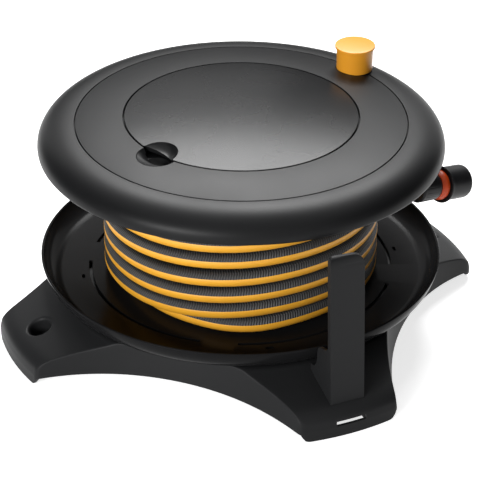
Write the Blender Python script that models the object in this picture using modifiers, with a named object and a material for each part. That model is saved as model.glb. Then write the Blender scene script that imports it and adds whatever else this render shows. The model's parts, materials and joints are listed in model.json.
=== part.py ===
"""Low four-footed hose reel that lies flat and turns about an upright axis.

A star-shaped base carries a water spindle.  The drum turns on it: a dished lower flange, a core,
an upper flange with a rounded rim, and a storage bin with a domed lift-off lid.  Garden hose is
wound on the drum, and its free end leaves under the rim with a quick connector.

Metres, +Z up.  The spin axis is world Z, the floor is z = 0, the feet point along +X, +Y, -X and
-Y, and the guide post stands on the -Y foot.
"""
import math

import bmesh
import bpy
from mathutils import Matrix, Vector

MM = 0.001

# Fits
CLEAR = 0.3 * MM            # gap kept between pieces that touch
RUN_GAP = 0.3 * MM          # radial gap of the turning bearings
SCREW_CLEAR = 0.3 * MM      # screw shank to its hole

SEAT_DEPTH = 0.8 * MM       # shallow seats cut for rings
REACH_OUT = 30 * MM         # how far cutters run past what they cut

# Facets of a full turn
BIG_STEPS = 36
MID_STEPS = 24
SMALL_STEPS = 14
PAD_STEPS = 8
SCREW_STEPS = 8
BOWL_RINGS = 3

# Star base
FOOT_REACH = 253.3 * MM     # outer radius of the four feet
SIDE_DEPTH = 178 * MM       # axis to the middle of each concave side, at its lower edge
SIDE_RADIUS = 300 * MM      # radius of each concave side
SIDE_CENTRE = SIDE_DEPTH + SIDE_RADIUS
SIDE_END = FOOT_REACH + 11.5 * MM   # the sides run on to this radius, past the foot ends
SIDE_ALONG = (SIDE_END ** 2 + SIDE_CENTRE ** 2 - SIDE_RADIUS ** 2) / (2 * SIDE_CENTRE)
SIDE_HALF = math.sqrt(SIDE_END ** 2 - SIDE_ALONG ** 2)  # half length of each concave side
SIDE_DRAFT = 6.6 * MM       # how far the sides lean in over the height of the base
BASE_TOP = 48 * MM
BASE_WALL = 3 * MM
BASE_EDGE_Z = 0.5 * MM      # lower edge of the foot ends, just above the pads' faces
NECK_RADIUS = 190 * MM      # where the feet start to fall away under the drum
NECK_EASE = 4.5 * MM
NECK_DROP = 3 * MM
NECK_FOOT_RADIUS = 205 * MM
NECK_FOOT_Z = 40.9 * MM
TOE_RADIUS = FOOT_REACH - 17.3 * MM     # where the top of a foot rolls over into its end
TOE_Z = 30.3 * MM
TOE_END_Z = 13 * MM
ARCH_RISE = 17 * MM         # height of the arch under each side
ARCH_HALF_SPAN = SIDE_HALF - 0.5 * MM
ARCH_FLAT = 0.57            # share of the half span that stays nearly level
ARCH_TURN = 10 * MM         # length of the rounded corner at a foot
ARCH_END_Z = 9 * MM
SIDE_POINTS = 9

# Foot sockets, pads and the strap slot
SOCKET_RADIUS = FOOT_REACH - 29.8 * MM  # axis to the peg socket in each free foot
SOCKET_BORE = 11.5 * MM
SOCKET_WALL = 2.5 * MM
SOCKET_LIP = 3.6 * MM       # width of the rounded lead-in
SOCKET_DEPTH = 17 * MM
PAD_RADIUS = 8 * MM
PAD_HEIGHT = 4.3 * MM
PAD_REACH = FOOT_REACH - 15.3 * MM
PAD_SHARE = 0.5             # of the foot's half width there, each side of its middle
PAD_EDGE = 0.8 * MM
PAD_STUD = 2.5 * MM         # stud that holds the pad in its boss
PAD_STUD_TOP = 12 * MM
PAD_BOSS = 1.5 * MM         # how far a boss is wider than its pad or screw head
SLOT_LENGTH = 32 * MM
SLOT_HEIGHT = 4.6 * MM
SLOT_Z = 14.8 * MM
RIB = 3 * MM
RIB_FROM_PAD = 5 * MM       # from the pads' line in to the ribs' line
RIB_LOW_Z = 20 * MM
RIB_IN = 52 * MM
RIB_OUT = FOOT_REACH - 27.3 * MM

# Guide post
POST_FOOT = 3               # the foot at -Y, counted round from +X
POST_WIDTH = 38.5 * MM
POST_TOP = 187 * MM
POST_FRONT_LOW = FOOT_REACH - 13.3 * MM     # axis to the outer face at the foot
POST_FRONT_TOP = FOOT_REACH - 22.3 * MM     # and at the top
POST_DEPTH = 11 * MM
POST_WALL = 3 * MM
POST_CORNER = 7 * MM
POST_NOSE = 10 * MM         # roll of the top edge
POST_EDGE = 1 * MM
POST_BLOCK_Z = 49 * MM      # top of the solid block that takes the screws
GUSSET_TOP_Z = 96 * MM
GUSSET_IN = 196 * MM        # how far the cheeks reach in under the drum's rim
GUSSET_TIP_Z = 47.6 * MM
GUSSET_TIP = 4 * MM
GUSSET_GAP = 3 * MM         # air between the cheeks and the turning drum
POST_SCREW_SPREAD = 11 * MM
POST_SCREW_REACH = FOOT_REACH - 25.3 * MM
POST_BOSS_Z = 27 * MM

# Spindle, water way and bearing
SPINDLE_RADIUS = 19 * MM
SPINDLE_TOP = 107.4 * MM
SPINDLE_FLANGE = 36 * MM
PLATE = 3 * MM              # spindle flange and manifold flange
WATER_BORE = 6.5 * MM
SPIGOT_RADIUS = 10.5 * MM
SPIGOT_TOP = 119 * MM
SPIGOT_EDGE = 1 * MM
SWIVEL_GAP = 0.45 * MM      # radial gap that the swivel seals close
SEAL_DEPTH = 1.5 * MM
SEAL_WIDTH = 2.8 * MM
SEAL_LOW_Z = 109.8 * MM
SEAL_STEP = 4.6 * MM
SEAL_PLATE = 1.2 * MM
BEARING_IN = 62 * MM
BEARING_OUT = 74 * MM
HUB_WALL = 6.7 * MM
HUB_TOP = 98 * MM
WASHER = 1.5 * MM
WASHER_RADIUS = 27 * MM
NUT_RADIUS = 24 * MM
NUT_HEIGHT = 6.6 * MM
NUT_NOTCH = 3 * MM
NUT_NOTCHES = 6
ELBOW_WALL = 3.5 * MM
ELBOW_TOP = 131 * MM
TAIL_REACH = 40 * MM
TAIL_RADIUS = 7.5 * MM
TAIL_Z = 123.5 * MM
TAIL_WALL = 2.5 * MM
FEED_AZIMUTH = 100          # degrees
FEED_START = 17 * MM        # axis to the end of the inner feed hose
FEED_WALL = 0.6 * MM        # how much the tail stretches it
CLAMP_START = 27 * MM
CLAMP_WIDTH = 8 * MM
CLAMP_WALL = 1.2 * MM
CLAMP_LUG = 5 * MM
INLET_AZIMUTH = 45          # degrees
INLET_Z = 32 * MM
INLET_RADIUS = 9 * MM
INLET_BORE = 5.5 * MM
INLET_END = 158 * MM
PIPE_HOLD = 8 * MM          # how far the inlet pipe goes into what holds it
NIPPLE_BODY = 11 * MM
NIPPLE_NUT = 13.5 * MM
NIPPLE_STEM = 8.2 * MM
NIPPLE_REACH = 208 * MM
NIPPLE_EDGE = 1.5 * MM
NIPPLE_GROOVE = 7 * MM
NIPPLE_LIP = 1 * MM
FLANGE_SCREW_RADIUS = 29 * MM
FLANGE_SCREW_AZIMUTH = 5    # degrees

# Lower flange, a dish
DISH_RADIUS = 205.8 * MM
DISH_TOP = 74.5 * MM
DISH_LIP = 2.6 * MM
DISH_WALL = 3 * MM
DISH_UNDER = 50.8 * MM
DISH_FLOOR_RADIUS = 184 * MM
DISH_DRAFT = 3.8 * MM       # lean of the wall
DISH_SWEEP = 2.2 * MM       # rise of the floor's edge
DISH_EDGE = 0.8 * MM
DRAIN_RADIUS = 155.5 * MM
DRAIN_WIDTH = 3.6 * MM
DRAIN_SPAN = 76             # degrees
DRAIN_START = 64            # degrees
DRAIN_POINTS = 6
KEY_AZIMUTH = -15           # degrees
KEY_RADIUS = 164 * MM
KEY_LENGTH = 8 * MM
KEY_WIDTH = 3 * MM
DISH_RIB_OUT = 90 * MM
DISH_RIB_TOP = 74 * MM

# Core
CORE_RADIUS = 105 * MM
CORE_WALL = 3 * MM
BOSS_CIRCLE = 97 * MM
BOSS_RADIUS = 5.5 * MM
BOSS_AZIMUTHS = (22.5, 112.5, 202.5, 292.5)
SCREW_HEAD = 4 * MM
SCREW_HEAD_HEIGHT = 2 * MM
SCREW_CROWN = 1 * MM
SCREW_SHANK = 1.8 * MM
SCREW_LENGTH = 14 * MM
SCREW_WALL = 2.5 * MM

# Upper flange and its covers
RIM_RADIUS = 205 * MM
RIM_Z = 198 * MM            # height of the widest line
RIM_UNDER = 3.8 * MM        # radius of the lower edge
RIM_WALL = 3 * MM
RIM_POWER = 2.15
RIM_LIP = 2.6 * MM
GROOVE_RADIUS = 167 * MM    # fine joint line in the top
GROOVE_Z = 221.4 * MM
GROOVE_GAP = 0.8 * MM
LEDGE_IN = 158 * MM
RING_WALL = 2.5 * MM
WEB_Z = 197.1 * MM          # underside of the plate that lies on the core
WEB_THICK = 3 * MM
WEB_IN = 91 * MM
WEB_RIBS = 8
WEB_RIB_IN = 112 * MM
LID_RADIUS = 118 * MM       # middle of the gap round the lid
LID_GAP = 1.4 * MM
LID_EDGE_Z = 226.7 * MM
LID_RISE = 7 * MM
LID_WALL = 2.5 * MM
LID_SKIRT_Z = 213 * MM
SKIRT_GAP = 0.7 * MM
BIN_FLANGE = 126 * MM
BIN_FLANGE_Z = 218.7 * MM
BIN_NECK = 110.5 * MM
BIN_RADIUS = 87 * MM
BIN_SHOULDER_Z = 200.4 * MM
BIN_BOTTOM = 136 * MM
BIN_WALL = 2.5 * MM
FINGER_AZIMUTH = 200.5      # degrees
FINGER_CENTRE = 117 * MM
FINGER_RADIUS = 21 * MM
CUP_DEPTH = 15 * MM
SCOOP_DEPTH = 5.5 * MM
CUP_WALL = 2.5 * MM
CUP_KEEP_Z = 217 * MM       # top of the cup where it runs on under the lid
SCALLOP = 8 * MM            # how far the lid is cut back over the cup

# Winding knob
KNOB_AZIMUTH = 18.8         # degrees
KNOB_CIRCLE = 164.3 * MM
KNOB_RADIUS = 19.1 * MM
KNOB_FOOT_RADIUS = 18.8 * MM
KNOB_CAP_RADIUS = 20.9 * MM
KNOB_CAP_HEIGHT = 3.6 * MM
KNOB_CROWN = 12.5 * MM      # radius of the nearly flat middle of the cap
KNOB_DOME = 0.8 * MM
KNOB_ROUND = 0.9 * MM
KNOB_HEIGHT = 27.5 * MM
KNOB_SEAT_Z = 223.1 * MM
KNOB_PIN = 5 * MM
KNOB_PIN_LOW = 204 * MM
KNOB_PIN_TOP = 20 * MM      # how far the pin reaches into the knob
PIN_EDGE = 1 * MM

# Hose: half-inch bore, wound right-handed
HOSE_OD = 17.5 * MM
HOSE_PITCH = 18 * MM
COIL_RADIUS = 132 * MM      # drum axis to the middle of the outer layer
COIL_START = 179.7          # degrees, where the lowest turn reaches the outer layer
COIL_TURNS = 5.2917
COIL_END_Z = 158.2 * MM     # height of its middle where it leaves the drum
LOOP_POINTS = 24
DIVE_RADIUS = 115.2 * MM    # where the hose comes up from the inner layers
DIVE_PER_TURN = 200 * MM
LAYER_GAP = 0.7 * MM        # over the hose that comes up from below
HOSE_RUN = 100.2 * MM       # free stretch, level distance from its start
HOSE_DROOP = 12             # degrees below level at the connector
HOSE_FALL = 1.4 * MM

# Quick connector, sizes along its own axis from the mouth of the nut
NUT_LENGTH = 27 * MM
NUT_OUT = 10.5 * MM
NUT_EDGE = 1 * MM
NUT_HOLD = 9 * MM           # how far the hose goes into the nut
RELEASE_LENGTH = 8.2 * MM
RELEASE_RADIUS = 15.5 * MM
RELEASE_BACK = 13.4 * MM
RELEASE_WALL = 2.1 * MM
COLLAR_START = 36.2 * MM
COLLAR_END = 68.5 * MM
COLLAR_RADIUS = 17.3 * MM
COLLAR_RIM = 19 * MM
COLLAR_CAVITY = 16.1 * MM
COLLAR_LIP = 1.7 * MM
COLLAR_ROUND = 4 * MM
SOCKET_BODY = 12 * MM
FITTING_BORE = 8.4 * MM
FITTING_DEPTH = 27 * MM

# Colours: red, green, blue, roughness
CHARCOAL = (0.028, 0.029, 0.031, 0.55)
SATIN = (0.035, 0.036, 0.038, 0.4)
DISH_BLACK = (0.014, 0.014, 0.016, 0.3)
RUBBER = (0.02, 0.02, 0.02, 0.8)
AMBER = (0.83, 0.35, 0.02, 0.4)
FLAME = (0.72, 0.10, 0.01, 0.35)
HOSE_BLACK = (0.02, 0.02, 0.022, 0.6)
PALE = (0.6, 0.6, 0.58, 0.4)
STEEL = (0.6, 0.6, 0.6, 0.3)
BRASS = (0.7, 0.48, 0.18, 0.3)

for old in list(bpy.data.objects):
    bpy.data.objects.remove(old, do_unlink=True)


def new_collection(name):
    group = bpy.data.collections.new(name)
    bpy.context.scene.collection.children.link(group)
    return group


PARTS = new_collection("hose_reel")
CUTTERS = new_collection("hose_reel_cutters")


def material(name, look):
    """A plain plastic, rubber or metal surface."""
    made = bpy.data.materials.new(name)
    made.use_nodes = True
    shader = made.node_tree.nodes["Principled BSDF"]
    shader.inputs["Base Color"].default_value = (*look[:3], 1.0)
    shader.inputs["Roughness"].default_value = look[3]
    shader.inputs["Metallic"].default_value = float(look in (STEEL, BRASS))
    return made


def add(name, data, look=None):
    """Put a mesh or a curve in the scene, as a part if it has a look and else as a cutter."""
    obj = bpy.data.objects.new(name, data)
    if look is None:
        CUTTERS.objects.link(obj)
        obj.hide_render = True
        obj.display_type = "WIRE"
    else:
        PARTS.objects.link(obj)
        data.materials.append(material(name, look))
    return obj


def polar(radius, degrees, z=0.0):
    turn = math.radians(degrees)
    return Vector((radius * math.cos(turn), radius * math.sin(turn), z))


def along(origin, direction):
    """Frame at origin whose Z runs along direction."""
    turn = Vector(direction).to_track_quat("Z", "Y").to_matrix().to_4x4()
    return Matrix.Translation(origin) @ turn


def bend(start, corner, end, steps):
    """Rounded corner from start to end, as points of a quadratic curve."""
    points = []
    for i in range(steps + 1):
        t = i / steps
        points.append(tuple((1 - t) ** 2 * a + 2 * t * (1 - t) * b + t * t * c
                            for a, b, c in zip(start, corner, end)))
    return points


def quarter(centre, wide, high, power, steps):
    """Superellipse quarter from above the centre out to its side."""
    points = []
    for i in range(steps + 1):
        turn = math.pi / 2 * i / steps
        points.append((centre[0] + wide * math.sin(turn) ** (2 / power),
                       centre[1] + high * max(math.cos(turn), 0.0) ** (2 / power)))
    return points


def shifted(profile, distance):
    """An outline moved to its left by a distance, corner by corner."""
    moved = []
    for i, point in enumerate(profile):
        before = profile[max(i - 1, 0)]
        after = profile[min(i + 1, len(profile) - 1)]
        normals = []
        for a, b in ((before, point), (point, after)):
            step = Vector((b[0] - a[0], b[1] - a[1]))
            if step.length > 0:
                normals.append(Vector((-step.y, step.x)).normalized())
        mid = sum(normals, Vector((0, 0))).normalized()
        reach = distance / max(mid.dot(normals[0]), 0.5)
        moved.append((point[0] + mid.x * reach, point[1] + mid.y * reach))
    return moved


def turned(name, profile, steps, look=None, frame=None, closed=True):
    """Solid of revolution.  The (radius, height) profile runs down its outer side."""
    mesh = bpy.data.meshes.new(name)
    edges = [(i, i + 1) for i in range(len(profile) - 1)]
    if closed:
        edges.append((len(profile) - 1, 0))
    mesh.from_pydata([(r, 0, z) for r, z in profile], edges, [])
    obj = add(name, mesh, look)
    if frame is not None:
        obj.matrix_world = frame
    screw = obj.modifiers.new("turn", "SCREW")
    screw.steps = steps
    screw.render_steps = steps
    screw.use_merge_vertices = True
    screw.merge_threshold = 0.00001
    screw.use_smooth_shade = True
    return obj


def rod(name, radius, low, high, steps, look=None, frame=None):
    """Plain cylinder between two heights of its own axis."""
    bm = bmesh.new()
    bmesh.ops.create_cone(bm, cap_ends=True, segments=steps, radius1=radius, radius2=radius,
                          depth=high - low, matrix=Matrix.Translation((0, 0, (low + high) / 2)))
    mesh = bpy.data.meshes.new(name)
    bm.to_mesh(mesh)
    bm.free()
    obj = add(name, mesh, look)
    if frame is not None:
        obj.matrix_world = frame
    return obj


def ring_profile(inner, outer, low, high):
    return [(inner, high), (outer, high), (outer, low), (inner, low)]


def box(name, low, high, look=None, frame=None):
    """Box between two opposite corners."""
    bm = bmesh.new()
    bmesh.ops.create_cube(bm, size=1.0)
    size = Vector(high) - Vector(low)
    bmesh.ops.scale(bm, verts=bm.verts, vec=size)
    bmesh.ops.translate(bm, verts=bm.verts, vec=(Vector(low) + Vector(high)) / 2)
    mesh = bpy.data.meshes.new(name)
    bm.to_mesh(mesh)
    bm.free()
    obj = add(name, mesh, look)
    if frame is not None:
        obj.matrix_world = frame
    return obj


def mesh_from(curve_obj, name, look=None):
    """Turn a curve object into a closed mesh object in its place."""
    bpy.context.view_layer.update()
    depsgraph = bpy.context.evaluated_depsgraph_get()
    mesh = bpy.data.meshes.new_from_object(curve_obj.evaluated_get(depsgraph))
    bm = bmesh.new()
    bm.from_mesh(mesh)
    bmesh.ops.remove_doubles(bm, verts=bm.verts, dist=0.000005)
    bmesh.ops.recalc_face_normals(bm, faces=bm.faces)
    bm.to_mesh(mesh)
    bm.free()
    mesh.materials.clear()
    obj = add(name, mesh, look)
    obj.matrix_world = curve_obj.matrix_world.copy()
    bpy.data.objects.remove(curve_obj, do_unlink=True)
    return obj


def plate(name, outline, low, high, look=None, frame=None):
    """Flat outline extruded between two heights of its own Z."""
    curve = bpy.data.curves.new(name, "CURVE")
    curve.dimensions = "2D"
    curve.fill_mode = "BOTH"
    curve.extrude = (high - low) / 2
    spline = curve.splines.new("POLY")
    spline.points.add(len(outline) - 1)
    for point, (x, y) in zip(spline.points, outline):
        point.co = (x, y, 0, 1)
    spline.use_cyclic_u = True
    holder = add(name + "_outline", curve)
    place = Matrix.Identity(4) if frame is None else frame
    holder.matrix_world = place @ Matrix.Translation((0, 0, (low + high) / 2))
    return mesh_from(holder, name, look)


def tube(name, points, diameter, resolution, look):
    """Round tube along a run of points, with closed ends."""
    curve = bpy.data.curves.new(name, "CURVE")
    curve.dimensions = "3D"
    curve.twist_mode = "Z_UP"
    curve.bevel_depth = diameter / 2
    curve.bevel_resolution = resolution
    curve.use_fill_caps = True
    spline = curve.splines.new("POLY")
    spline.points.add(len(points) - 1)
    for point, place in zip(spline.points, points):
        point.co = (*place, 1)
    return add(name, curve, look)


def combine(obj, other, operation="DIFFERENCE"):
    """Boolean with another object."""
    step = obj.modifiers.new(other.name, "BOOLEAN")
    step.operation = operation
    step.object = other
    step.solver = "EXACT"
    return obj


def cut(obj, *others):
    for other in others:
        combine(obj, other)


def fuse(obj, *others):
    for other in others:
        combine(obj, other, "UNION")


def trim(obj, other):
    combine(obj, other, "INTERSECT")


def facing(degrees, origin=(0, 0, 0)):
    """Frame that looks outward at an azimuth: X across, Y up, Z outward."""
    axes = Matrix(((0, 0, 1, 0), (1, 0, 0, 0), (0, 1, 0, 0), (0, 0, 0, 1)))
    return Matrix.Translation(origin) @ Matrix.Rotation(math.radians(degrees), 4, "Z") @ axes


def upright(degrees):
    """Frame turned about the spin axis."""
    return Matrix.Rotation(math.radians(degrees), 4, "Z")


def upside_down(place):
    return along(place, (0, 0, -1))


def pan_screw(name, frame):
    """Screw whose head sits on its frame's XY plane, head towards +Z."""
    crown = SCREW_HEAD - SCREW_CROWN
    return turned(name, [(0, SCREW_HEAD_HEIGHT), (crown, SCREW_HEAD_HEIGHT),
                         (SCREW_HEAD, SCREW_HEAD_HEIGHT - SCREW_CROWN), (SCREW_HEAD, 0),
                         (SCREW_SHANK, 0), (SCREW_SHANK, -SCREW_LENGTH), (0, -SCREW_LENGTH)],
                  SCREW_STEPS, STEEL, frame, closed=False)


def screw_hole(name, frame):
    """Cutter for a screw's shank."""
    return rod(name, SCREW_SHANK + SCREW_CLEAR, -SCREW_LENGTH - CLEAR, REACH_OUT, SCREW_STEPS,
               frame=frame)


def stadium(length, width, steps=5):
    """Outline with round ends, its long way along X."""
    points = []
    for end in (1, -1):
        for i in range(steps + 1):
            turn = math.pi * (i / steps - 0.5)
            points.append((end * ((length - width) / 2 + width / 2 * math.cos(turn)),
                           end * width / 2 * math.sin(turn)))
    return points


def bowl(name, radius, depth, place, steps, look=None):
    """Half an ellipsoid below its rim, carried straight up above it."""
    profile = [(0, REACH_OUT), (radius, REACH_OUT), (radius, 0)]
    for i in range(1, BOWL_RINGS):
        turn = math.pi / 2 * i / BOWL_RINGS
        profile.append((radius * math.cos(turn), -depth * math.sin(turn)))
    profile.append((0, -depth))
    return turned(name, profile, steps, look, Matrix.Translation(place), closed=False)


# Star base

def foot_slope():
    """Angle below level of the top of a foot."""
    return math.atan2(NECK_FOOT_Z - TOE_Z, TOE_RADIUS - NECK_FOOT_RADIUS)


def foot_top_z(radius):
    return NECK_FOOT_Z - (radius - NECK_FOOT_RADIUS) * math.tan(foot_slope())


def base_profile(neck_steps=2, toe_steps=4):
    """Outside of the base from the axis out over the feet and down their ends."""
    neck_corner = (NECK_RADIUS + NECK_EASE, BASE_TOP - NECK_DROP)
    profile = [(0, BASE_TOP)]
    profile += bend((NECK_RADIUS, BASE_TOP), neck_corner, (NECK_FOOT_RADIUS, NECK_FOOT_Z), neck_steps)
    profile += bend((TOE_RADIUS, TOE_Z), (FOOT_REACH, foot_top_z(FOOT_REACH)),
                    (FOOT_REACH, TOE_END_Z), toe_steps)
    profile.append((FOOT_REACH, BASE_EDGE_Z))
    return profile


def pad_spread():
    """Distance of the pads from the middle line of their foot."""
    along_side = (PAD_REACH ** 2 + SIDE_CENTRE ** 2 - SIDE_RADIUS ** 2) / (2 * SIDE_CENTRE)
    edge = math.acos(along_side / PAD_REACH)
    return PAD_SHARE * PAD_REACH * math.sin(math.pi / 4 - edge)


def pad_place(foot, side):
    spot = polar(PAD_REACH, 90 * foot) + polar(pad_spread() * side, 90 * foot + 90)
    return Matrix.Translation(spot)


def star(name, inset):
    """Prism with four concave sides that lean in towards the top."""
    low = -REACH_OUT
    high = BASE_TOP + REACH_OUT
    radius = SIDE_RADIUS + inset
    spread = math.asin(SIDE_HALF / radius)
    outline = []
    for side in range(4):
        middle = polar(1, 45 + 90 * side)
        across = polar(1, 135 + 90 * side)
        for i in range(SIDE_POINTS):
            turn = spread * (2 * i / (SIDE_POINTS - 1) - 1)
            point = (middle * (SIDE_CENTRE - radius * math.cos(turn))
                     + across * radius * math.sin(turn))
            outline.append((point.x, point.y))
    prism = plate(name, outline, low, high)
    lean = SIDE_DRAFT / SIDE_DEPTH / (BASE_TOP - ARCH_RISE)
    bm = bmesh.new()
    bm.from_mesh(prism.data)
    for level in (low, high):
        size = 1 - lean * (level - ARCH_RISE)
        rim = [v for v in bm.verts if abs(v.co.z + (low + high) / 2 - level) < CLEAR]
        bmesh.ops.scale(bm, verts=rim, vec=(size, size, 1))
    bm.to_mesh(prism.data)
    bm.free()
    return prism


def base_arch(side):
    """Cutter for the arched lower edge of one side."""
    half = bend((0, ARCH_RISE), (ARCH_HALF_SPAN * ARCH_FLAT, ARCH_RISE),
                (ARCH_HALF_SPAN - ARCH_TURN, ARCH_END_Z), 4)
    half += bend((ARCH_HALF_SPAN - ARCH_TURN, ARCH_END_Z), (ARCH_HALF_SPAN - ARCH_TURN, 0),
                 (ARCH_HALF_SPAN, 0), 4)[1:]
    half.append((ARCH_HALF_SPAN, -REACH_OUT))
    outline = [(-x, z) for x, z in reversed(half)] + half[1:]
    arch = plate("arch_%d" % side, outline, SIDE_DEPTH / 2, FOOT_REACH + REACH_OUT,
                 frame=facing(45 + 90 * side))
    cut(arch, star("arch_keep_%d" % side, BASE_WALL + RIB))
    return arch


def socket_frame(foot):
    """Frame on the top of a foot, square to its slope."""
    tilt = math.degrees(foot_slope())
    outward = polar(math.sin(math.radians(tilt)), 90 * foot) + Vector((0, 0, math.cos(math.radians(tilt))))
    return along(polar(SOCKET_RADIUS, 90 * foot, foot_top_z(SOCKET_RADIUS)), outward)


def base_cavity():
    """The hollow under the base, less its ribs, bosses and socket walls."""
    profile = shifted(base_profile(1, 2), -BASE_WALL)
    profile += [(profile[-1][0], -REACH_OUT), (0, -REACH_OUT)]
    hollow = turned("base_hollow", profile, BIG_STEPS, closed=False)
    trim(hollow, star("base_hollow_star", BASE_WALL))
    ribs = []
    rib_lane = pad_spread() - RIB_FROM_PAD
    for lane in (-rib_lane, rib_lane):
        for name, along_x in (("x", True), ("y", False)):
            low = (-RIB_OUT, lane - RIB / 2) if along_x else (lane - RIB / 2, -RIB_OUT)
            high = (RIB_OUT, lane + RIB / 2) if along_x else (lane + RIB / 2, RIB_OUT)
            ribs.append(box("rib_%s_%d" % (name, len(ribs)), (*low, RIB_LOW_Z),
                            (*high, BASE_TOP + RIB)))
    web = ribs[0]
    fuse(web, *ribs[1:])
    cut(web, rod("rib_hub", RIB_IN, 0, BASE_TOP + 2 * RIB, SMALL_STEPS))
    fuse(web, turned("rib_ring", ring_profile(RIB_IN - RIB / 2, RIB_IN + RIB / 2, RIB_LOW_Z,
                                              BASE_TOP + RIB), SMALL_STEPS))
    cut(hollow, web)
    for foot in range(4):
        for side in (-1, 1):
            cut(hollow, rod("pad_boss_%d_%d" % (foot, side), PAD_RADIUS + PAD_BOSS,
                            PAD_HEIGHT + CLEAR, BASE_TOP, PAD_STEPS, frame=pad_place(foot, side)))
        if foot != POST_FOOT:
            cut(hollow, rod("socket_wall_%d" % foot, SOCKET_BORE + SOCKET_WALL,
                            -SOCKET_DEPTH - SOCKET_WALL, REACH_OUT, SMALL_STEPS,
                            frame=socket_frame(foot)))
    for i, spot in enumerate(post_screw_spots()):
        cut(hollow, rod("post_boss_%d" % i, SCREW_HEAD + PAD_BOSS, POST_BOSS_Z, BASE_TOP,
                        PAD_STEPS, frame=Matrix.Translation(spot)))
    return hollow


def post_screw_spots():
    return [Vector((side * POST_SCREW_SPREAD, -POST_SCREW_REACH, 0)) for side in (-1, 1)]


def make_base():
    base = turned("base_star", base_profile() + [(0, BASE_EDGE_Z)], BIG_STEPS, CHARCOAL,
                  closed=False)
    trim(base, star("base_sides", 0))
    for side in range(4):
        cut(base, base_arch(side))
    cut(base, base_cavity())
    inlet = along((0, 0, INLET_Z), polar(1, INLET_AZIMUTH))
    fuse(base, rod("inlet_boss", NIPPLE_NUT + NIPPLE_EDGE, SIDE_DEPTH - 2 * SIDE_DRAFT,
                   SIDE_DEPTH + CLEAR, SMALL_STEPS, frame=inlet))
    cut(base, rod("inlet_hole", NIPPLE_BODY + CLEAR, SPINDLE_FLANGE, FOOT_REACH, SMALL_STEPS,
                  frame=inlet))
    cut(base, rod("spindle_hole", SPINDLE_RADIUS + CLEAR, 0, BASE_TOP + REACH_OUT, MID_STEPS))
    cut(base, turned("bearing_seat", ring_profile(
        BEARING_IN - CLEAR, BEARING_OUT + CLEAR, BASE_TOP - SEAT_DEPTH, BASE_TOP + RIB),
        MID_STEPS))
    for i in range(4):
        cut(base, screw_hole("spindle_screw_hole_%d" % i, spindle_screw_frame(i)))
    for i, spot in enumerate(post_screw_spots()):
        cut(base, rod("post_screw_hole_%d" % i, SCREW_SHANK + SCREW_CLEAR, 0, BASE_TOP,
                      SCREW_STEPS, frame=Matrix.Translation(spot)))
    for foot in range(4):
        for side in (-1, 1):
            place = pad_place(foot, side)
            cut(base, rod("stud_hole_%d_%d" % (foot, side), PAD_STUD + CLEAR, 0,
                          PAD_STUD_TOP + CLEAR, SCREW_STEPS, frame=place))
            turned("foot_pad_%d" % (2 * foot + (side + 3) // 2), [
                (0, PAD_STUD_TOP), (PAD_STUD, PAD_STUD_TOP), (PAD_STUD, PAD_HEIGHT),
                (PAD_RADIUS, PAD_HEIGHT), (PAD_RADIUS, PAD_EDGE), (PAD_RADIUS - PAD_EDGE, 0),
                (0, 0)], PAD_STEPS, RUBBER, place, closed=False)
        if foot != POST_FOOT:
            bore = SOCKET_BORE
            cut(base, turned("socket_%d" % foot, [
                (0, SOCKET_LIP), (bore + 2 * SOCKET_LIP, SOCKET_LIP), (bore + SOCKET_LIP, 0),
                (bore + SOCKET_LIP / 3, -SOCKET_LIP / 3), (bore, -SOCKET_LIP),
                (bore, -SOCKET_DEPTH), (0, -SOCKET_DEPTH)],
                SMALL_STEPS, frame=socket_frame(foot), closed=False))
    cut(base, box("strap_slot", (-SLOT_LENGTH / 2, -FOOT_REACH - RIB, SLOT_Z - SLOT_HEIGHT / 2),
                  (SLOT_LENGTH / 2, -FOOT_REACH + 2 * BASE_WALL, SLOT_Z + SLOT_HEIGHT / 2)))


# Guide post

def post_front(z):
    """Outer face of the post at a height."""
    share = (z - TOE_Z) / (POST_TOP - TOE_Z)
    return -POST_FRONT_LOW + (POST_FRONT_LOW - POST_FRONT_TOP) * share


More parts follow.
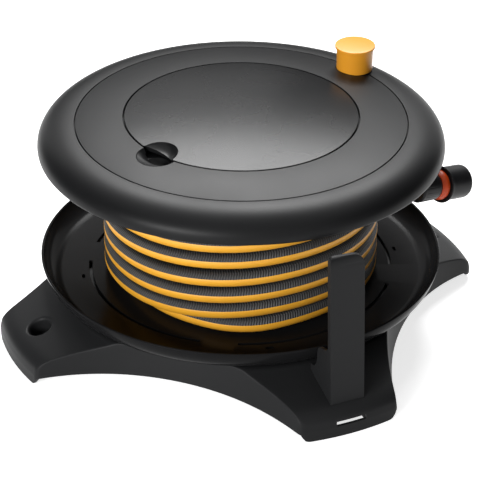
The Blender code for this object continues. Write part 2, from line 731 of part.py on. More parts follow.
def make_post():
    nose = POST_NOSE
    front = [(post_front(BASE_EDGE_Z), BASE_EDGE_Z)]
    front += bend((post_front(POST_TOP - nose), POST_TOP - nose), (post_front(POST_TOP), POST_TOP),
                  (post_front(POST_TOP) + nose, POST_TOP), 4)
    back = post_front(POST_TOP) + POST_DEPTH
    cheek_z = POST_TOP - POST_DEPTH / 2
    outline = front + [(back, POST_TOP), (post_front(GUSSET_TOP_Z) + POST_DEPTH, GUSSET_TOP_Z)]
    outline += bend((-DISH_RADIUS - GUSSET_GAP, DISH_TOP), (-DISH_RADIUS - GUSSET_GAP, DISH_UNDER),
                    (-GUSSET_IN, GUSSET_TIP_Z + GUSSET_TIP), 5)
    outline += [(-GUSSET_IN, BASE_EDGE_Z)]
    post = plate("guide_post", outline, -POST_WIDTH / 2, POST_WIDTH / 2, CHARCOAL, facing(0))
    soften = post.modifiers.new("soft_edges", "BEVEL")
    soften.width = POST_EDGE
    soften.segments = 2
    soften.limit_method = "ANGLE"
    soften.angle_limit = math.radians(60)
    half = POST_WIDTH / 2
    corner = bend((half, POST_TOP - POST_CORNER), (half, POST_TOP),
                  (half - POST_CORNER, POST_TOP), 4)
    face = ([(half + RIB, 0), (half + RIB, POST_TOP - POST_CORNER - RIB)]
            + [(half, POST_TOP - POST_CORNER)] + corner[1:])
    face += [(-x, z) for x, z in reversed(face)]
    trim(post, plate("post_face", face, -POST_FRONT_LOW, FOOT_REACH + REACH_OUT,
                     frame=facing(-90)))
    channel = [(post_front(POST_BLOCK_Z) + POST_WALL, POST_BLOCK_Z),
               (post_front(cheek_z) + POST_WALL, cheek_z),
               (0, cheek_z), (0, POST_BLOCK_Z)]
    cut(post, plate("post_channel", channel, -half + POST_WALL, half - POST_WALL, frame=facing(0)))
    seat = shifted(base_profile(), CLEAR)
    seat += [(seat[-1][0], -REACH_OUT), (0, -REACH_OUT)]
    cut(post, turned("post_seat", seat, BIG_STEPS, closed=False))
    for i, spot in enumerate(post_screw_spots()):
        frame = upside_down(spot + Vector((0, 0, POST_BOSS_Z - CLEAR)))
        pan_screw("post_screw_%d" % (i + 1), frame)
        cut(post, screw_hole("post_shank_%d" % i, frame))


# Water way

def spindle_screw_frame(i):
    return along(polar(FLANGE_SCREW_RADIUS, FLANGE_SCREW_AZIMUTH + 90 * i, BASE_TOP + CLEAR),
                 (0, 0, 1))


def make_spindle():
    under = BASE_TOP - BASE_WALL - CLEAR
    floor = INLET_Z - INLET_RADIUS - PLATE - CLEAR
    spigot = [(WATER_BORE, SPIGOT_TOP), (SPIGOT_RADIUS - SPIGOT_EDGE, SPIGOT_TOP),
              (SPIGOT_RADIUS, SPIGOT_TOP - SPIGOT_EDGE)]
    for i in (1, 0):
        low = SEAL_LOW_Z + i * SEAL_STEP
        groove = SPIGOT_RADIUS - SEAL_DEPTH
        spigot += [(SPIGOT_RADIUS, low + SEAL_WIDTH), (groove, low + SEAL_WIDTH), (groove, low),
                   (SPIGOT_RADIUS, low)]
    spindle = turned("spindle", [(0, floor + PLATE), (WATER_BORE, floor + PLATE)] + spigot + [
        (SPIGOT_RADIUS, SPINDLE_TOP), (SPINDLE_RADIUS, SPINDLE_TOP), (SPINDLE_RADIUS, under),
        (SPINDLE_FLANGE, under), (SPINDLE_FLANGE, under - PLATE),
        (SPINDLE_RADIUS, under - PLATE), (SPINDLE_RADIUS, floor), (0, floor)],
        MID_STEPS, PALE, closed=False)
    for i in range(4):
        frame = spindle_screw_frame(i)
        fuse(spindle, rod("spindle_boss_%d" % i, SCREW_SHANK + SCREW_WALL,
                          -SCREW_LENGTH - SCREW_WALL, -BASE_WALL - 2 * CLEAR - PLATE / 2,
                          PAD_STEPS, frame=frame))
        cut(spindle, screw_hole("spindle_shank_%d" % i, frame))
        pan_screw("spindle_screw_%d" % (i + 1), frame)
    inlet = along((0, 0, INLET_Z), polar(1, INLET_AZIMUTH))
    cut(spindle, rod("pipe_socket", INLET_RADIUS + CLEAR, SPINDLE_RADIUS - PIPE_HOLD,
                     SPINDLE_FLANGE, SMALL_STEPS, frame=inlet))
    cut(spindle, rod("pipe_bore", INLET_BORE, 0, SPINDLE_RADIUS, SMALL_STEPS, frame=inlet))
    turned("inlet_pipe", ring_profile(INLET_BORE, INLET_RADIUS, SPINDLE_RADIUS - PIPE_HOLD + CLEAR,
                                      INLET_END), SMALL_STEPS, CHARCOAL, inlet)
    seal_low = SIDE_DEPTH + 2 * CLEAR
    turned("inlet_seal", ring_profile(NIPPLE_BODY + CLEAR, NIPPLE_NUT, seal_low,
                                      seal_low + SEAL_PLATE), SMALL_STEPS, RUBBER, inlet)
    flange = seal_low + SEAL_PLATE + CLEAR
    lip = NIPPLE_LIP
    groove = NIPPLE_REACH - NIPPLE_GROOVE
    turned("inlet_nipple", [
        (INLET_BORE, NIPPLE_REACH), (NIPPLE_STEM - lip, NIPPLE_REACH),
        (NIPPLE_STEM, NIPPLE_REACH - lip), (NIPPLE_STEM, groove + 2 * lip),
        (NIPPLE_STEM - lip, groove + lip), (NIPPLE_STEM - lip, groove - lip),
        (NIPPLE_STEM, groove - 2 * lip), (NIPPLE_STEM, flange + PLATE),
        (NIPPLE_NUT, flange + PLATE), (NIPPLE_NUT, flange), (NIPPLE_BODY, flange),
        (NIPPLE_BODY, INLET_END - PIPE_HOLD), (INLET_RADIUS + CLEAR, INLET_END - PIPE_HOLD),
        (INLET_RADIUS + CLEAR, INLET_END + CLEAR), (INLET_BORE, INLET_END + CLEAR)],
        SMALL_STEPS, BRASS, inlet)
    turned("bearing_ring", ring_profile(BEARING_IN, BEARING_OUT, BASE_TOP - SEAT_DEPTH + CLEAR,
                                        DISH_UNDER - CLEAR), MID_STEPS, PALE)
    washer = HUB_TOP + CLEAR
    turned("retaining_washer", ring_profile(SPINDLE_RADIUS + CLEAR, WASHER_RADIUS, washer,
                                            washer + WASHER), MID_STEPS, STEEL)
    nut = washer + WASHER + CLEAR
    grip = turned("spindle_nut", ring_profile(SPINDLE_RADIUS + CLEAR, NUT_RADIUS, nut,
                                              nut + NUT_HEIGHT), MID_STEPS, PALE)
    for i in range(NUT_NOTCHES):
        notch = polar(NUT_RADIUS, 360 / NUT_NOTCHES * i)
        cut(grip, rod("nut_notch_%d" % i, NUT_NOTCH, nut - CLEAR, nut + NUT_HEIGHT + CLEAR,
                      SCREW_STEPS, frame=Matrix.Translation(notch)))
    for i in (0, 1):
        low = SEAL_LOW_Z + i * SEAL_STEP + CLEAR
        turned("swivel_seal_%d" % (i + 1), ring_profile(
            SPIGOT_RADIUS - SEAL_DEPTH + CLEAR, SPIGOT_RADIUS + CLEAR / 2, low,
            low + SEAL_WIDTH - 2 * CLEAR), SMALL_STEPS, RUBBER)


# Drum

def make_lower_flange():
    floor = DISH_UNDER + DISH_WALL
    hub = SPINDLE_RADIUS + RUN_GAP
    outside = [(DISH_RADIUS, DISH_TOP - DISH_EDGE)]
    outside += bend((DISH_RADIUS, DISH_TOP - DISH_EDGE * 2),
                    (DISH_RADIUS - DISH_DRAFT, DISH_UNDER + DISH_SWEEP),
                    (DISH_FLOOR_RADIUS, DISH_UNDER), 4)
    inside = bend((DISH_FLOOR_RADIUS, floor), (DISH_RADIUS - DISH_DRAFT - DISH_LIP, floor + DISH_SWEEP),
                  (DISH_RADIUS - DISH_LIP, DISH_TOP - DISH_EDGE * 2), 4)
    flange = turned("lower_flange", (
        [(DISH_RADIUS - DISH_LIP + DISH_EDGE, DISH_TOP), (DISH_RADIUS - DISH_EDGE, DISH_TOP)]
        + outside + [(hub, DISH_UNDER), (hub, HUB_TOP), (hub + HUB_WALL, HUB_TOP),
                     (hub + HUB_WALL, floor)]
        + inside + [(DISH_RADIUS - DISH_LIP, DISH_TOP - DISH_EDGE)]), BIG_STEPS, DISH_BLACK)
    for i in range(4):
        fuse(flange, box("hub_rib_%d" % i, (hub + HUB_WALL / 2, -RIB / 2, floor - DISH_WALL / 2),
                         (DISH_RIB_OUT, RIB / 2, DISH_RIB_TOP), frame=upright(90 * i)))
        arc = [DRAIN_START + 90 * i + DRAIN_SPAN * j / DRAIN_POINTS
               for j in range(DRAIN_POINTS + 1)]
        outer = DRAIN_RADIUS + DRAIN_WIDTH / 2
        inner = DRAIN_RADIUS - DRAIN_WIDTH / 2
        band = [polar(outer, a)[:2] for a in arc] + [polar(inner, a)[:2] for a in reversed(arc)]
        cut(flange, plate("drain_%d" % i, band, DISH_UNDER - RIB, floor + RIB))
        key = upright(KEY_AZIMUTH + 90 * i) @ Matrix.Translation((KEY_RADIUS, 0, 0))
        cut(flange, plate("key_slot_%d" % i, [(y, x) for x, y in stadium(KEY_LENGTH, KEY_WIDTH, 3)],
                          DISH_UNDER - RIB, floor + RIB, frame=key))
    for i, azimuth in enumerate(BOSS_AZIMUTHS):
        frame = upside_down(polar(BOSS_CIRCLE, azimuth, DISH_UNDER - CLEAR))
        pan_screw("core_screw_%d" % (i + 1), frame)
        cut(flange, screw_hole("core_screw_hole_%d" % i, frame))


def make_core():
    low = DISH_UNDER + DISH_WALL + CLEAR
    high = WEB_Z - CLEAR
    core = turned("drum_core", ring_profile(CORE_RADIUS - CORE_WALL, CORE_RADIUS, low, high),
                  BIG_STEPS, CHARCOAL)
    for i, azimuth in enumerate(BOSS_AZIMUTHS):
        fuse(core, rod("core_boss_%d" % i, BOSS_RADIUS, low, high, PAD_STEPS,
                       frame=Matrix.Translation(polar(BOSS_CIRCLE, azimuth))))
        cut(core, screw_hole("core_shank_%d" % i,
                             upside_down(polar(BOSS_CIRCLE, azimuth, DISH_UNDER - CLEAR))))
    feed = along((0, 0, TAIL_Z), polar(1, FEED_AZIMUTH))
    cut(core, rod("feed_window", HOSE_OD / 2 + FEED_WALL + 2 * CLEAR, BOSS_CIRCLE - BOSS_RADIUS,
                  CORE_RADIUS + REACH_OUT, SMALL_STEPS, frame=feed))
    turned("feed_hose", ring_profile(TAIL_RADIUS + CLEAR, HOSE_OD / 2 + FEED_WALL, FEED_START,
                                     CORE_RADIUS - CORE_WALL / 2), SMALL_STEPS, HOSE_BLACK, feed)
    clamp_in = HOSE_OD / 2 + FEED_WALL + CLEAR
    clamp = turned("hose_clamp", ring_profile(clamp_in, clamp_in + CLAMP_WALL, CLAMP_START,
                                              CLAMP_START + CLAMP_WIDTH), SMALL_STEPS, STEEL, feed)
    fuse(clamp, box("clamp_lug", (clamp_in + CLAMP_WALL / 2, -CLAMP_WIDTH / 2, CLAMP_START + CLEAR),
                    (clamp_in + CLAMP_LUG, CLAMP_WIDTH / 2, CLAMP_START + CLAMP_WIDTH - CLEAR),
                    frame=feed))
    bore = SPIGOT_RADIUS + SWIVEL_GAP
    side = bore + ELBOW_WALL
    elbow = turned("outlet_elbow", [
        (0, ELBOW_TOP), (side - ELBOW_WALL / 2, ELBOW_TOP), (side, ELBOW_TOP - ELBOW_WALL / 2),
        (side, SPINDLE_TOP + CLEAR), (bore, SPINDLE_TOP + CLEAR),
        (bore, ELBOW_TOP - ELBOW_WALL), (0, ELBOW_TOP - ELBOW_WALL)], SMALL_STEPS, CHARCOAL,
        closed=False)
    fuse(elbow, rod("elbow_tail", TAIL_RADIUS, bore + ELBOW_WALL / 2, TAIL_REACH, SMALL_STEPS,
                    frame=feed))
    cut(elbow, rod("tail_bore", TAIL_RADIUS - TAIL_WALL, 0, TAIL_REACH + RIB, SMALL_STEPS,
                   frame=feed))


def knob_frame():
    return Matrix.Translation(polar(KNOB_CIRCLE, KNOB_AZIMUTH))


def make_upper_flange():
    under = RIM_Z - RIM_UNDER
    outside = quarter((GROOVE_RADIUS, RIM_Z), RIM_RADIUS - GROOVE_RADIUS, GROOVE_Z - RIM_Z,
                      RIM_POWER, 6)[1:]
    lip = bend((RIM_RADIUS, RIM_Z), (RIM_RADIUS, under), (RIM_RADIUS - RIM_UNDER, under), 2)[1:]
    inside = quarter((GROOVE_RADIUS, RIM_Z), RIM_RADIUS - GROOVE_RADIUS - RIM_WALL,
                     GROOVE_Z - RIM_Z - RIM_WALL, RIM_POWER, 5)
    web_top = WEB_Z + WEB_THICK
    ledge = GROOVE_Z - RING_WALL - CLEAR
    inside = [p for p in reversed(inside)
              if p[1] > web_top + CLEAR and p[0] > GROOVE_RADIUS + RIM_WALL]
    lip_in = RIM_RADIUS - RIM_UNDER - RIM_LIP
    edge = GROOVE_RADIUS + GROOVE_GAP / 2
    flange = turned("upper_flange", (
        [(edge, GROOVE_Z)] + outside + lip + [
            (lip_in, under), (lip_in, WEB_Z), (WEB_IN, WEB_Z), (WEB_IN, web_top),
            (inside[0][0], web_top)]
        + inside + [(inside[-1][0], ledge - RING_WALL), (LEDGE_IN, ledge - RING_WALL),
                    (LEDGE_IN, ledge), (edge, ledge)]), BIG_STEPS, SATIN)
    for i in range(WEB_RIBS):
        fuse(flange, box("web_rib_%d" % i, (WEB_RIB_IN, -RIB / 2, web_top - WEB_THICK / 2),
                         (GROOVE_RADIUS, RIB / 2, BIN_FLANGE_Z - CLEAR),
                         frame=upright(360 / WEB_RIBS * i)))
    seat = rod("knob_seat", KNOB_FOOT_RADIUS, web_top - WEB_THICK / 2, KNOB_SEAT_Z - CLEAR,
               SMALL_STEPS, frame=knob_frame())
    fuse(flange, seat)
    cut(flange, rod("pin_hole", KNOB_PIN + CLEAR, KNOB_PIN_LOW - CLEAR, KNOB_SEAT_Z + REACH_OUT,
                    SMALL_STEPS, frame=knob_frame()))


def finger_place(z):
    return polar(FINGER_CENTRE, FINGER_AZIMUTH, z)


def ring_top():
    """Top of the cover ring from the lid's gap out to the groove."""
    start = (LID_RADIUS + LID_GAP / 2, LID_EDGE_Z)
    end = (GROOVE_RADIUS - GROOVE_GAP / 2, GROOVE_Z)
    corner = ((start[0] + end[0]) / 2, LID_EDGE_Z - (LID_EDGE_Z - GROOVE_Z) / 5)
    return bend(start, corner, end, 3)


def make_cover_ring():
    top = ring_top()
    rest = BIN_FLANGE_Z + BIN_WALL + CLEAR
    inner = top[0][0]
    under = [(top[-1][0], top[-1][1] - RING_WALL), (inner + RING_WALL, top[0][1] - RING_WALL)]
    cover = turned("cover_ring", top + under + [(inner + RING_WALL, rest), (inner, rest)],
                   BIG_STEPS, SATIN)
    pocket_z = GROOVE_Z + RING_WALL / 2
    cup = bowl("finger_cup", FINGER_RADIUS + CUP_WALL, CUP_DEPTH + CUP_WALL,
               finger_place(pocket_z), SMALL_STEPS)
    step = inner + RING_WALL / 2
    keep = [(0, CUP_KEEP_Z), (step, CUP_KEEP_Z)]
    keep += [(max(r, step), z - RING_WALL / 2) for r, z in top]
    keep += [(top[-1][0], BIN_SHOULDER_Z), (0, BIN_SHOULDER_Z)]
    trim(cup, turned("cup_keep", keep, BIG_STEPS, closed=False))
    fuse(cover, cup)
    cut(cover, bowl("finger_pocket", FINGER_RADIUS, CUP_DEPTH, finger_place(pocket_z),
                    SMALL_STEPS))
    cut(cover, rod("knob_notch", KNOB_RADIUS + 2 * CLEAR, BIN_SHOULDER_Z,
                   KNOB_SEAT_Z + REACH_OUT, SMALL_STEPS, frame=knob_frame()))


def lid_top():
    edge = LID_RADIUS - LID_GAP / 2
    return [(edge * i / 5, LID_EDGE_Z + LID_RISE * (1 - (i / 5) ** 2)) for i in range(6)]


def make_bin_and_lid():
    flange_top = BIN_FLANGE_Z + BIN_WALL
    shoulder_top = BIN_SHOULDER_Z + BIN_WALL
    storage = turned("storage_bin", [
        (0, BIN_BOTTOM + BIN_WALL), (BIN_RADIUS - BIN_WALL, BIN_BOTTOM + BIN_WALL),
        (BIN_RADIUS - BIN_WALL, shoulder_top), (BIN_NECK - BIN_WALL, shoulder_top),
        (BIN_NECK - BIN_WALL, flange_top), (BIN_FLANGE, flange_top), (BIN_FLANGE, BIN_FLANGE_Z),
        (BIN_NECK, BIN_FLANGE_Z), (BIN_NECK, BIN_SHOULDER_Z), (BIN_RADIUS, BIN_SHOULDER_Z),
        (BIN_RADIUS, BIN_BOTTOM), (0, BIN_BOTTOM)], BIG_STEPS, CHARCOAL, closed=False)
    pocket_z = GROOVE_Z + RING_WALL / 2
    clear_radius = FINGER_RADIUS + CUP_WALL + CLEAR
    clear_depth = CUP_DEPTH + CUP_WALL + CLEAR
    cut(storage, bowl("bin_notch", clear_radius, clear_depth, finger_place(pocket_z), SMALL_STEPS))

    top = lid_top()
    edge = top[-1][0]
    rest = flange_top + CLEAR
    under = [(edge - LID_WALL, LID_EDGE_Z - LID_WALL)]
    under += [(r, z - LID_WALL) for r, z in (top[4], top[2], top[0])]
    lid = turned("storage_lid", top + [(edge, rest), (edge - LID_WALL, rest)] + under,
                 BIG_STEPS, SATIN, closed=False)
    skirt_out = BIN_NECK - BIN_WALL - SKIRT_GAP
    skirt = turned("lid_skirt", ring_profile(skirt_out - LID_WALL, skirt_out, LID_SKIRT_Z,
                                             LID_EDGE_Z - LID_WALL / 4), BIG_STEPS)
    cut(skirt, bowl("skirt_notch", clear_radius, clear_depth, finger_place(pocket_z),
                    SMALL_STEPS))
    scoop = bowl("scoop_shell", FINGER_RADIUS + CUP_WALL, SCOOP_DEPTH + CUP_WALL,
                 finger_place(LID_EDGE_Z), SMALL_STEPS)
    inside = edge - LID_WALL / 2
    keep = [(min(r, inside), z - LID_WALL / 2) for r, z in top]
    keep += [(inside, BIN_SHOULDER_Z), (0, BIN_SHOULDER_Z)]
    trim(scoop, turned("scoop_keep", keep, BIG_STEPS, closed=False))
    fuse(lid, skirt, scoop)
    cut(lid, bowl("scoop", FINGER_RADIUS, SCOOP_DEPTH, finger_place(LID_EDGE_Z), SMALL_STEPS))
    half = math.sqrt(FINGER_RADIUS ** 2 - (FINGER_CENTRE - edge) ** 2)
    bite = (half ** 2 + SCALLOP ** 2) / (2 * SCALLOP)
    chord = edge - half ** 2 / (2 * edge)
    cut(lid, rod("scallop", bite, LID_SKIRT_Z - RIB, LID_EDGE_Z + REACH_OUT, MID_STEPS,
                 frame=Matrix.Translation(polar(chord - SCALLOP + bite, FINGER_AZIMUTH))))


def make_knob():
    cap = KNOB_HEIGHT - KNOB_CAP_HEIGHT
    place = Matrix.Translation((0, 0, KNOB_SEAT_Z)) @ knob_frame()
    turned("knob_grip", [
        (0, KNOB_HEIGHT), (KNOB_CROWN, KNOB_HEIGHT - KNOB_DOME / 3),
        (KNOB_CAP_RADIUS - KNOB_ROUND, KNOB_HEIGHT - KNOB_DOME),
        (KNOB_CAP_RADIUS - KNOB_ROUND / 4, KNOB_HEIGHT - KNOB_DOME - KNOB_ROUND / 2),
        (KNOB_CAP_RADIUS, KNOB_HEIGHT - KNOB_DOME - KNOB_ROUND),
        (KNOB_CAP_RADIUS, cap + KNOB_ROUND / 2), (KNOB_CAP_RADIUS - KNOB_ROUND / 3, cap),
        (KNOB_RADIUS, cap - KNOB_ROUND / 3), (KNOB_FOOT_RADIUS, KNOB_ROUND / 2),
        (KNOB_FOOT_RADIUS - KNOB_ROUND / 2, 0), (KNOB_PIN + CLEAR, 0),
        (KNOB_PIN + CLEAR, KNOB_PIN_TOP + CLEAR), (0, KNOB_PIN_TOP + CLEAR)],
        MID_STEPS, AMBER, place, closed=False)
    turned("knob_pin", [
        (0, KNOB_SEAT_Z + KNOB_PIN_TOP), (KNOB_PIN - PIN_EDGE, KNOB_SEAT_Z + KNOB_PIN_TOP),
        (KNOB_PIN, KNOB_SEAT_Z + KNOB_PIN_TOP - PIN_EDGE), (KNOB_PIN, KNOB_PIN_LOW),
        (0, KNOB_PIN_LOW)], SMALL_STEPS, STEEL, knob_frame(), closed=False)


# Hose

def coil_point(degrees):
    """Centre of the outer layer at an angle counted from where it begins."""
    dive = max(0.0, -degrees / 360)
    radius = max(COIL_RADIUS - DIVE_PER_TURN * dive, DIVE_RADIUS)
    rise = HOSE_PITCH * max(degrees, 0.0) / 360
    return polar(radius, COIL_START + degrees, coil_low() + rise)


def coil_low():
    return COIL_END_Z - HOSE_PITCH * COIL_TURNS


def end_direction():
    """Level direction in which the hose leaves the drum."""
    return polar(1, COIL_START + 360 * COIL_TURNS + 90)


def make_winding():
    step = 360 / LOOP_POINTS
    dive = 360 * (COIL_RADIUS - DIVE_RADIUS) / DIVE_PER_TURN
    count = round((360 * COIL_TURNS + dive) / step)
    points = [coil_point(-dive + (360 * COIL_TURNS + dive) * i / count) for i in range(count + 1)]
    points.insert(0, points[0] + (points[0] - points[1]).normalized() * HOSE_OD)
    points.append(points[-1] + end_direction() * HOSE_OD)
    tube("hose_winding", points, HOSE_OD, 1, HOSE_BLACK)
    least = min((a - b).length for i, a in enumerate(points) for b in points[i + LOOP_POINTS // 2:])
    print("hose winding: least gap to itself %.2f mm" % ((least - HOSE_OD) / MM))
    inner_low = coil_low() + HOSE_OD / 2 + LAYER_GAP
    inner_high = COIL_END_Z + HOSE_OD / 4
    outer = COIL_RADIUS * math.cos(math.pi / LOOP_POINTS) - HOSE_OD / 2 - CLEAR
    turned("inner_hose_layers", ring_profile(CORE_RADIUS + CLEAR, outer, inner_low, inner_high),
           BIG_STEPS, HOSE_BLACK)
    return points[-1]


def connector_axis(start):
    """Mouth of the connector's nut and the direction in which the connector points."""
    droop = math.radians(HOSE_DROOP)
    out = end_direction()
    mouth = start + out * HOSE_RUN - Vector((0, 0, HOSE_FALL))
    return mouth, out * math.cos(droop) - Vector((0, 0, math.sin(droop)))


def make_free_hose(end):
    start = end + end_direction() * CLEAR
    mouth, heading = connector_axis(start)
    sag = HOSE_FALL / math.tan(math.radians(HOSE_DROOP))
    corner = start + end_direction() * (HOSE_RUN - sag)
    easing = corner - end_direction() * sag
    points = [start] + [start + (easing - start) * i / 4 for i in range(1, 4)]
    points += [Vector(p) for p in bend(easing, corner, mouth, 4)]
    points.append(mouth + heading * NUT_HOLD)
    tube("free_hose", points, HOSE_OD, 3, HOSE_BLACK)
    return along(mouth, heading)


def make_connector(frame):
    bore = HOSE_OD / 2 + CLEAR
    stem = FITTING_BORE - CLEAR
    turned("connector_tail", [
        (stem + CLEAR, NUT_LENGTH), (NUT_OUT - CLEAR, NUT_LENGTH), (NUT_OUT, NUT_LENGTH - CLEAR),
        (NUT_OUT, NUT_EDGE), (NUT_OUT - NUT_EDGE, 0), (bore, 0), (bore, NUT_HOLD + CLEAR),
        (stem + CLEAR, NUT_HOLD + CLEAR)], SMALL_STEPS, CHARCOAL, frame)
    back = NUT_LENGTH + CLEAR
    front = back + RELEASE_LENGTH
    hold = stem + RELEASE_WALL
    turned("connector_ring", [
        (hold + CLEAR, front), (RELEASE_RADIUS - CLEAR, front), (RELEASE_RADIUS, front - CLEAR * 2),
        (RELEASE_RADIUS, front - RELEASE_LENGTH / 3), (RELEASE_BACK, back + CLEAR * 2),
        (RELEASE_BACK - CLEAR * 2, back), (hold + CLEAR, back)], MID_STEPS, FLAME, frame)
    shoulder = front + CLEAR
    nose = COLLAR_END - COLLAR_LIP
    water = FITTING_BORE / 2
    turned("connector_body", [
        (FITTING_BORE, nose), (SOCKET_BODY - CLEAR * 2, nose), (SOCKET_BODY, nose - CLEAR * 2),
        (SOCKET_BODY, shoulder + COLLAR_LIP * 2), (RELEASE_RADIUS - CLEAR, shoulder + COLLAR_LIP),
        (RELEASE_RADIUS - CLEAR, shoulder), (hold, shoulder), (hold, back), (stem, back),
        (stem, NUT_HOLD + 2 * CLEAR), (water, NUT_HOLD + 2 * CLEAR),
        (water, nose - FITTING_DEPTH), (FITTING_BORE, nose - FITTING_DEPTH)],
        SMALL_STEPS, CHARCOAL, frame)
    rounded = bend((COLLAR_RADIUS - COLLAR_ROUND, COLLAR_END), (COLLAR_RADIUS, COLLAR_END),
                   (COLLAR_RADIUS, COLLAR_END - COLLAR_ROUND), 3)
    flare = COLLAR_START + COLLAR_LIP * 2
    inner = SOCKET_BODY + CLEAR * 2
    turned("connector_collar", [(inner, COLLAR_END)] + rounded + [
        (COLLAR_RADIUS, flare), (COLLAR_RIM, COLLAR_START + COLLAR_LIP),
        (COLLAR_RIM, COLLAR_START + CLEAR * 2), (COLLAR_RIM - CLEAR * 2, COLLAR_START),
        (COLLAR_CAVITY, COLLAR_START), (COLLAR_CAVITY, nose), (inner, nose)],
        MID_STEPS, CHARCOAL, frame)


make_base()
make_post()
make_spindle()
make_lower_flange()
make_core()
make_upper_flange()
make_cover_ring()
make_bin_and_lid()
make_knob()
make_connector(make_free_hose(make_winding()))
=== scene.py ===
"""Looks of a low four-footed hose reel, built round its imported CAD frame.

The pieces that show are remade finer than their solids, in the solids' own places: the star base
and its post, the dish, the upper flange with its ring and lid, the knob, the hose and the quick
connector.  Shapes are made in millimetres and scaled to metres when they are dressed.
"""
import json
import math

import bmesh
import bpy
import numpy as np
from mathutils import Matrix, Vector


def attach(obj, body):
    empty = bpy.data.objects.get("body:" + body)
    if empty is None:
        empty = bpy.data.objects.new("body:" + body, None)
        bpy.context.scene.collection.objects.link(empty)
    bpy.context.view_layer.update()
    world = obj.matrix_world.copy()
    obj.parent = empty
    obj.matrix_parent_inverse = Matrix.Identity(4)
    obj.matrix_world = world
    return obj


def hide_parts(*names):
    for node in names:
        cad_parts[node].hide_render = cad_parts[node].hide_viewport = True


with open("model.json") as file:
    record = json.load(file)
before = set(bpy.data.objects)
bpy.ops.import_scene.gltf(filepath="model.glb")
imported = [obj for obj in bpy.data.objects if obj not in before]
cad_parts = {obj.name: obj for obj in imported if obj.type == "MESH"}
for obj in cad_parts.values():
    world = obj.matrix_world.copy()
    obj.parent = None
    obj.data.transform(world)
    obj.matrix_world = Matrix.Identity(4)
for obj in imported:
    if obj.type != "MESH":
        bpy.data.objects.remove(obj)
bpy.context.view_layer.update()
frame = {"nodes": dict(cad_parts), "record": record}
scene = bpy.context.scene

MM = 0.001                  # metres in a millimetre
STEPS = 180                 # facets of the large turned pieces
FINE_STEPS = 72             # of the small ones
BORE_STEPS = 48             # of wide bores
BOSS_STEPS = 32             # of bosses
HOLE_STEPS = 24             # and of narrow holes
REACH = 30.0                # how far cutters run past what they cut
CLEAR = 0.3                 # gap between pieces that lie against each other
SCREW_HOLE = 2.1            # radius
RIB_HALF = 1.5              # half the thickness of every rib

# Star base
FOOT_REACH = 253.3          # axis to the end of a foot
SIDE_CENTRE = 478.0         # axis to the centre of each concave side
SIDE_RADIUS = 300.0
SIDE_LEAN = 6.6 / 178.0 / 31.0      # share by which a side draws in for each millimetre of height
SIDE_TURN = 5.0             # rounding between a side and the end of a foot
STAR_ROWS = 560             # sections round the star
TOP_RADII = (36, 62, 90, 120, 150, 175, 186, 190, 192.5, 195, 197.5, 200, 202.5, 205, 208, 212,
             217, 222, 227, 232, 236, 239, 242, 244.5, 247, 249, 250.5, 251.8, 252.6)
BASE_TOP = 48.0
BASE_EDGE_Z = 0.5           # lower edge of the feet
WALL = 3.0
NECK = (190.0, 205.0, 40.9)     # radii of the bend from the flat top to a foot, height at its end
TOE = (236.0, 30.3, 13.0)   # radius and height where a foot rounds off, height of its front
ARCH_RISE = 17.0            # height of the lower edge in the middle of a side
ARCH_SPAN = 149.5           # from there to where the foot begins
CREASE = 1.5                # rounding between the top and the sides
INNER_CREASE = 0.6
SOCKET_REACH = 223.5        # axis to a peg socket
SOCKET_BORE = 11.5
SOCKET_LIP = 3.6
SOCKET_DEPTH = 17.0
SOCKET_WALL = 2.5
PAD_SPOT = (238.0, 28.9)    # a pad's distance outward and to either side
PAD_BOSS = (9.5, 4.6)       # radius and lower end
PAD_STUD = (2.8, 12.3)      # hole for its stud: radius and upper end
RIB_LANE = 24.0             # distance of the ribs from the middle of each foot
RIB_END = 226.0
RIB_LOW = 20.0
RIB_RING = 52.0             # radius of the ring that joins the ribs
INLET_Z = 32.0
INLET_AZIMUTH = 45
INLET_BOSS = (15, 164.8, 178.3)     # radius and ends
INLET_HOLE = (11.3, 36, 253)
BEARING_SEAT = (61.7, 74.3, 47.2)   # radii and floor
SPINDLE_SCREWS = (29, 5)    # radius and azimuth of the first
SPINDLE_CUT = 78            # height that the spindle's holes are cut to
STRAP_SLOT = (16, 12.5, 17.1)       # half its width, lower and upper edge

# Guide post
POST_WIDTH = 38.5
POST_TOP = 187.0
POST_FRONT = (240.0, 231.0)     # axis to its front, at the toe and at the top
POST_DEPTH = 6.4
POST_LEFT = 2.6             # taken off its left side
POST_HEEL = -196            # where it ends on the base, towards the axis
POST_SCREW = (11, -228)
POST_BOSS = (5.5, 27)       # radius and lower end
GUSSET_TOP = 88.0
CHANNEL = (49, POST_TOP - 5.5)      # heights of the hollow in its back

# Drum
DISH_RADIUS = 205.8
DISH_TOP = 74.5
DISH_UNDER = 50.8           # underside of its floor
DISH_FLOOR = 184.0          # radius of the floor
HUB = 19.3                  # radius of the bores round the spindle
HUB_WALL = 6.7
HUB_TOP = 98
DRAIN = (153.7, 157.3)      # radii of the drain slots
RIM_RADIUS = 205.0          # of the upper flange
RIM_Z = 198.0
WEB_LOW, WEB_MIDDLE, WEB_TOP = 197.1, 198.6, 200.1      # the flange's flat floor
ABOVE_WEB = 200.4           # just clear of it
GROOVE = 167.0              # radius of the line between flange and ring
GROOVE_Z = 221.4
LID_RADIUS = 118.0          # of the middle of the gap round the lid
LID_GAP = 0.7               # half of that gap
LID_Z = 226.7               # its edge
LID_RISE = 7.0
SKIN = 2.5                  # thickness of lid and ring
SEAT_Z = 221.5              # lower end of the edges of lid and ring
SKIRT = (104.8, 107.3, 213, 226.1)      # under the lid: radii and ends
FINGER = (117.0, 200.5, 21.0)       # recess: radius and azimuth of its middle, its own radius
CUP_DEPTH = 17.5            # of the recess's wall under the ring
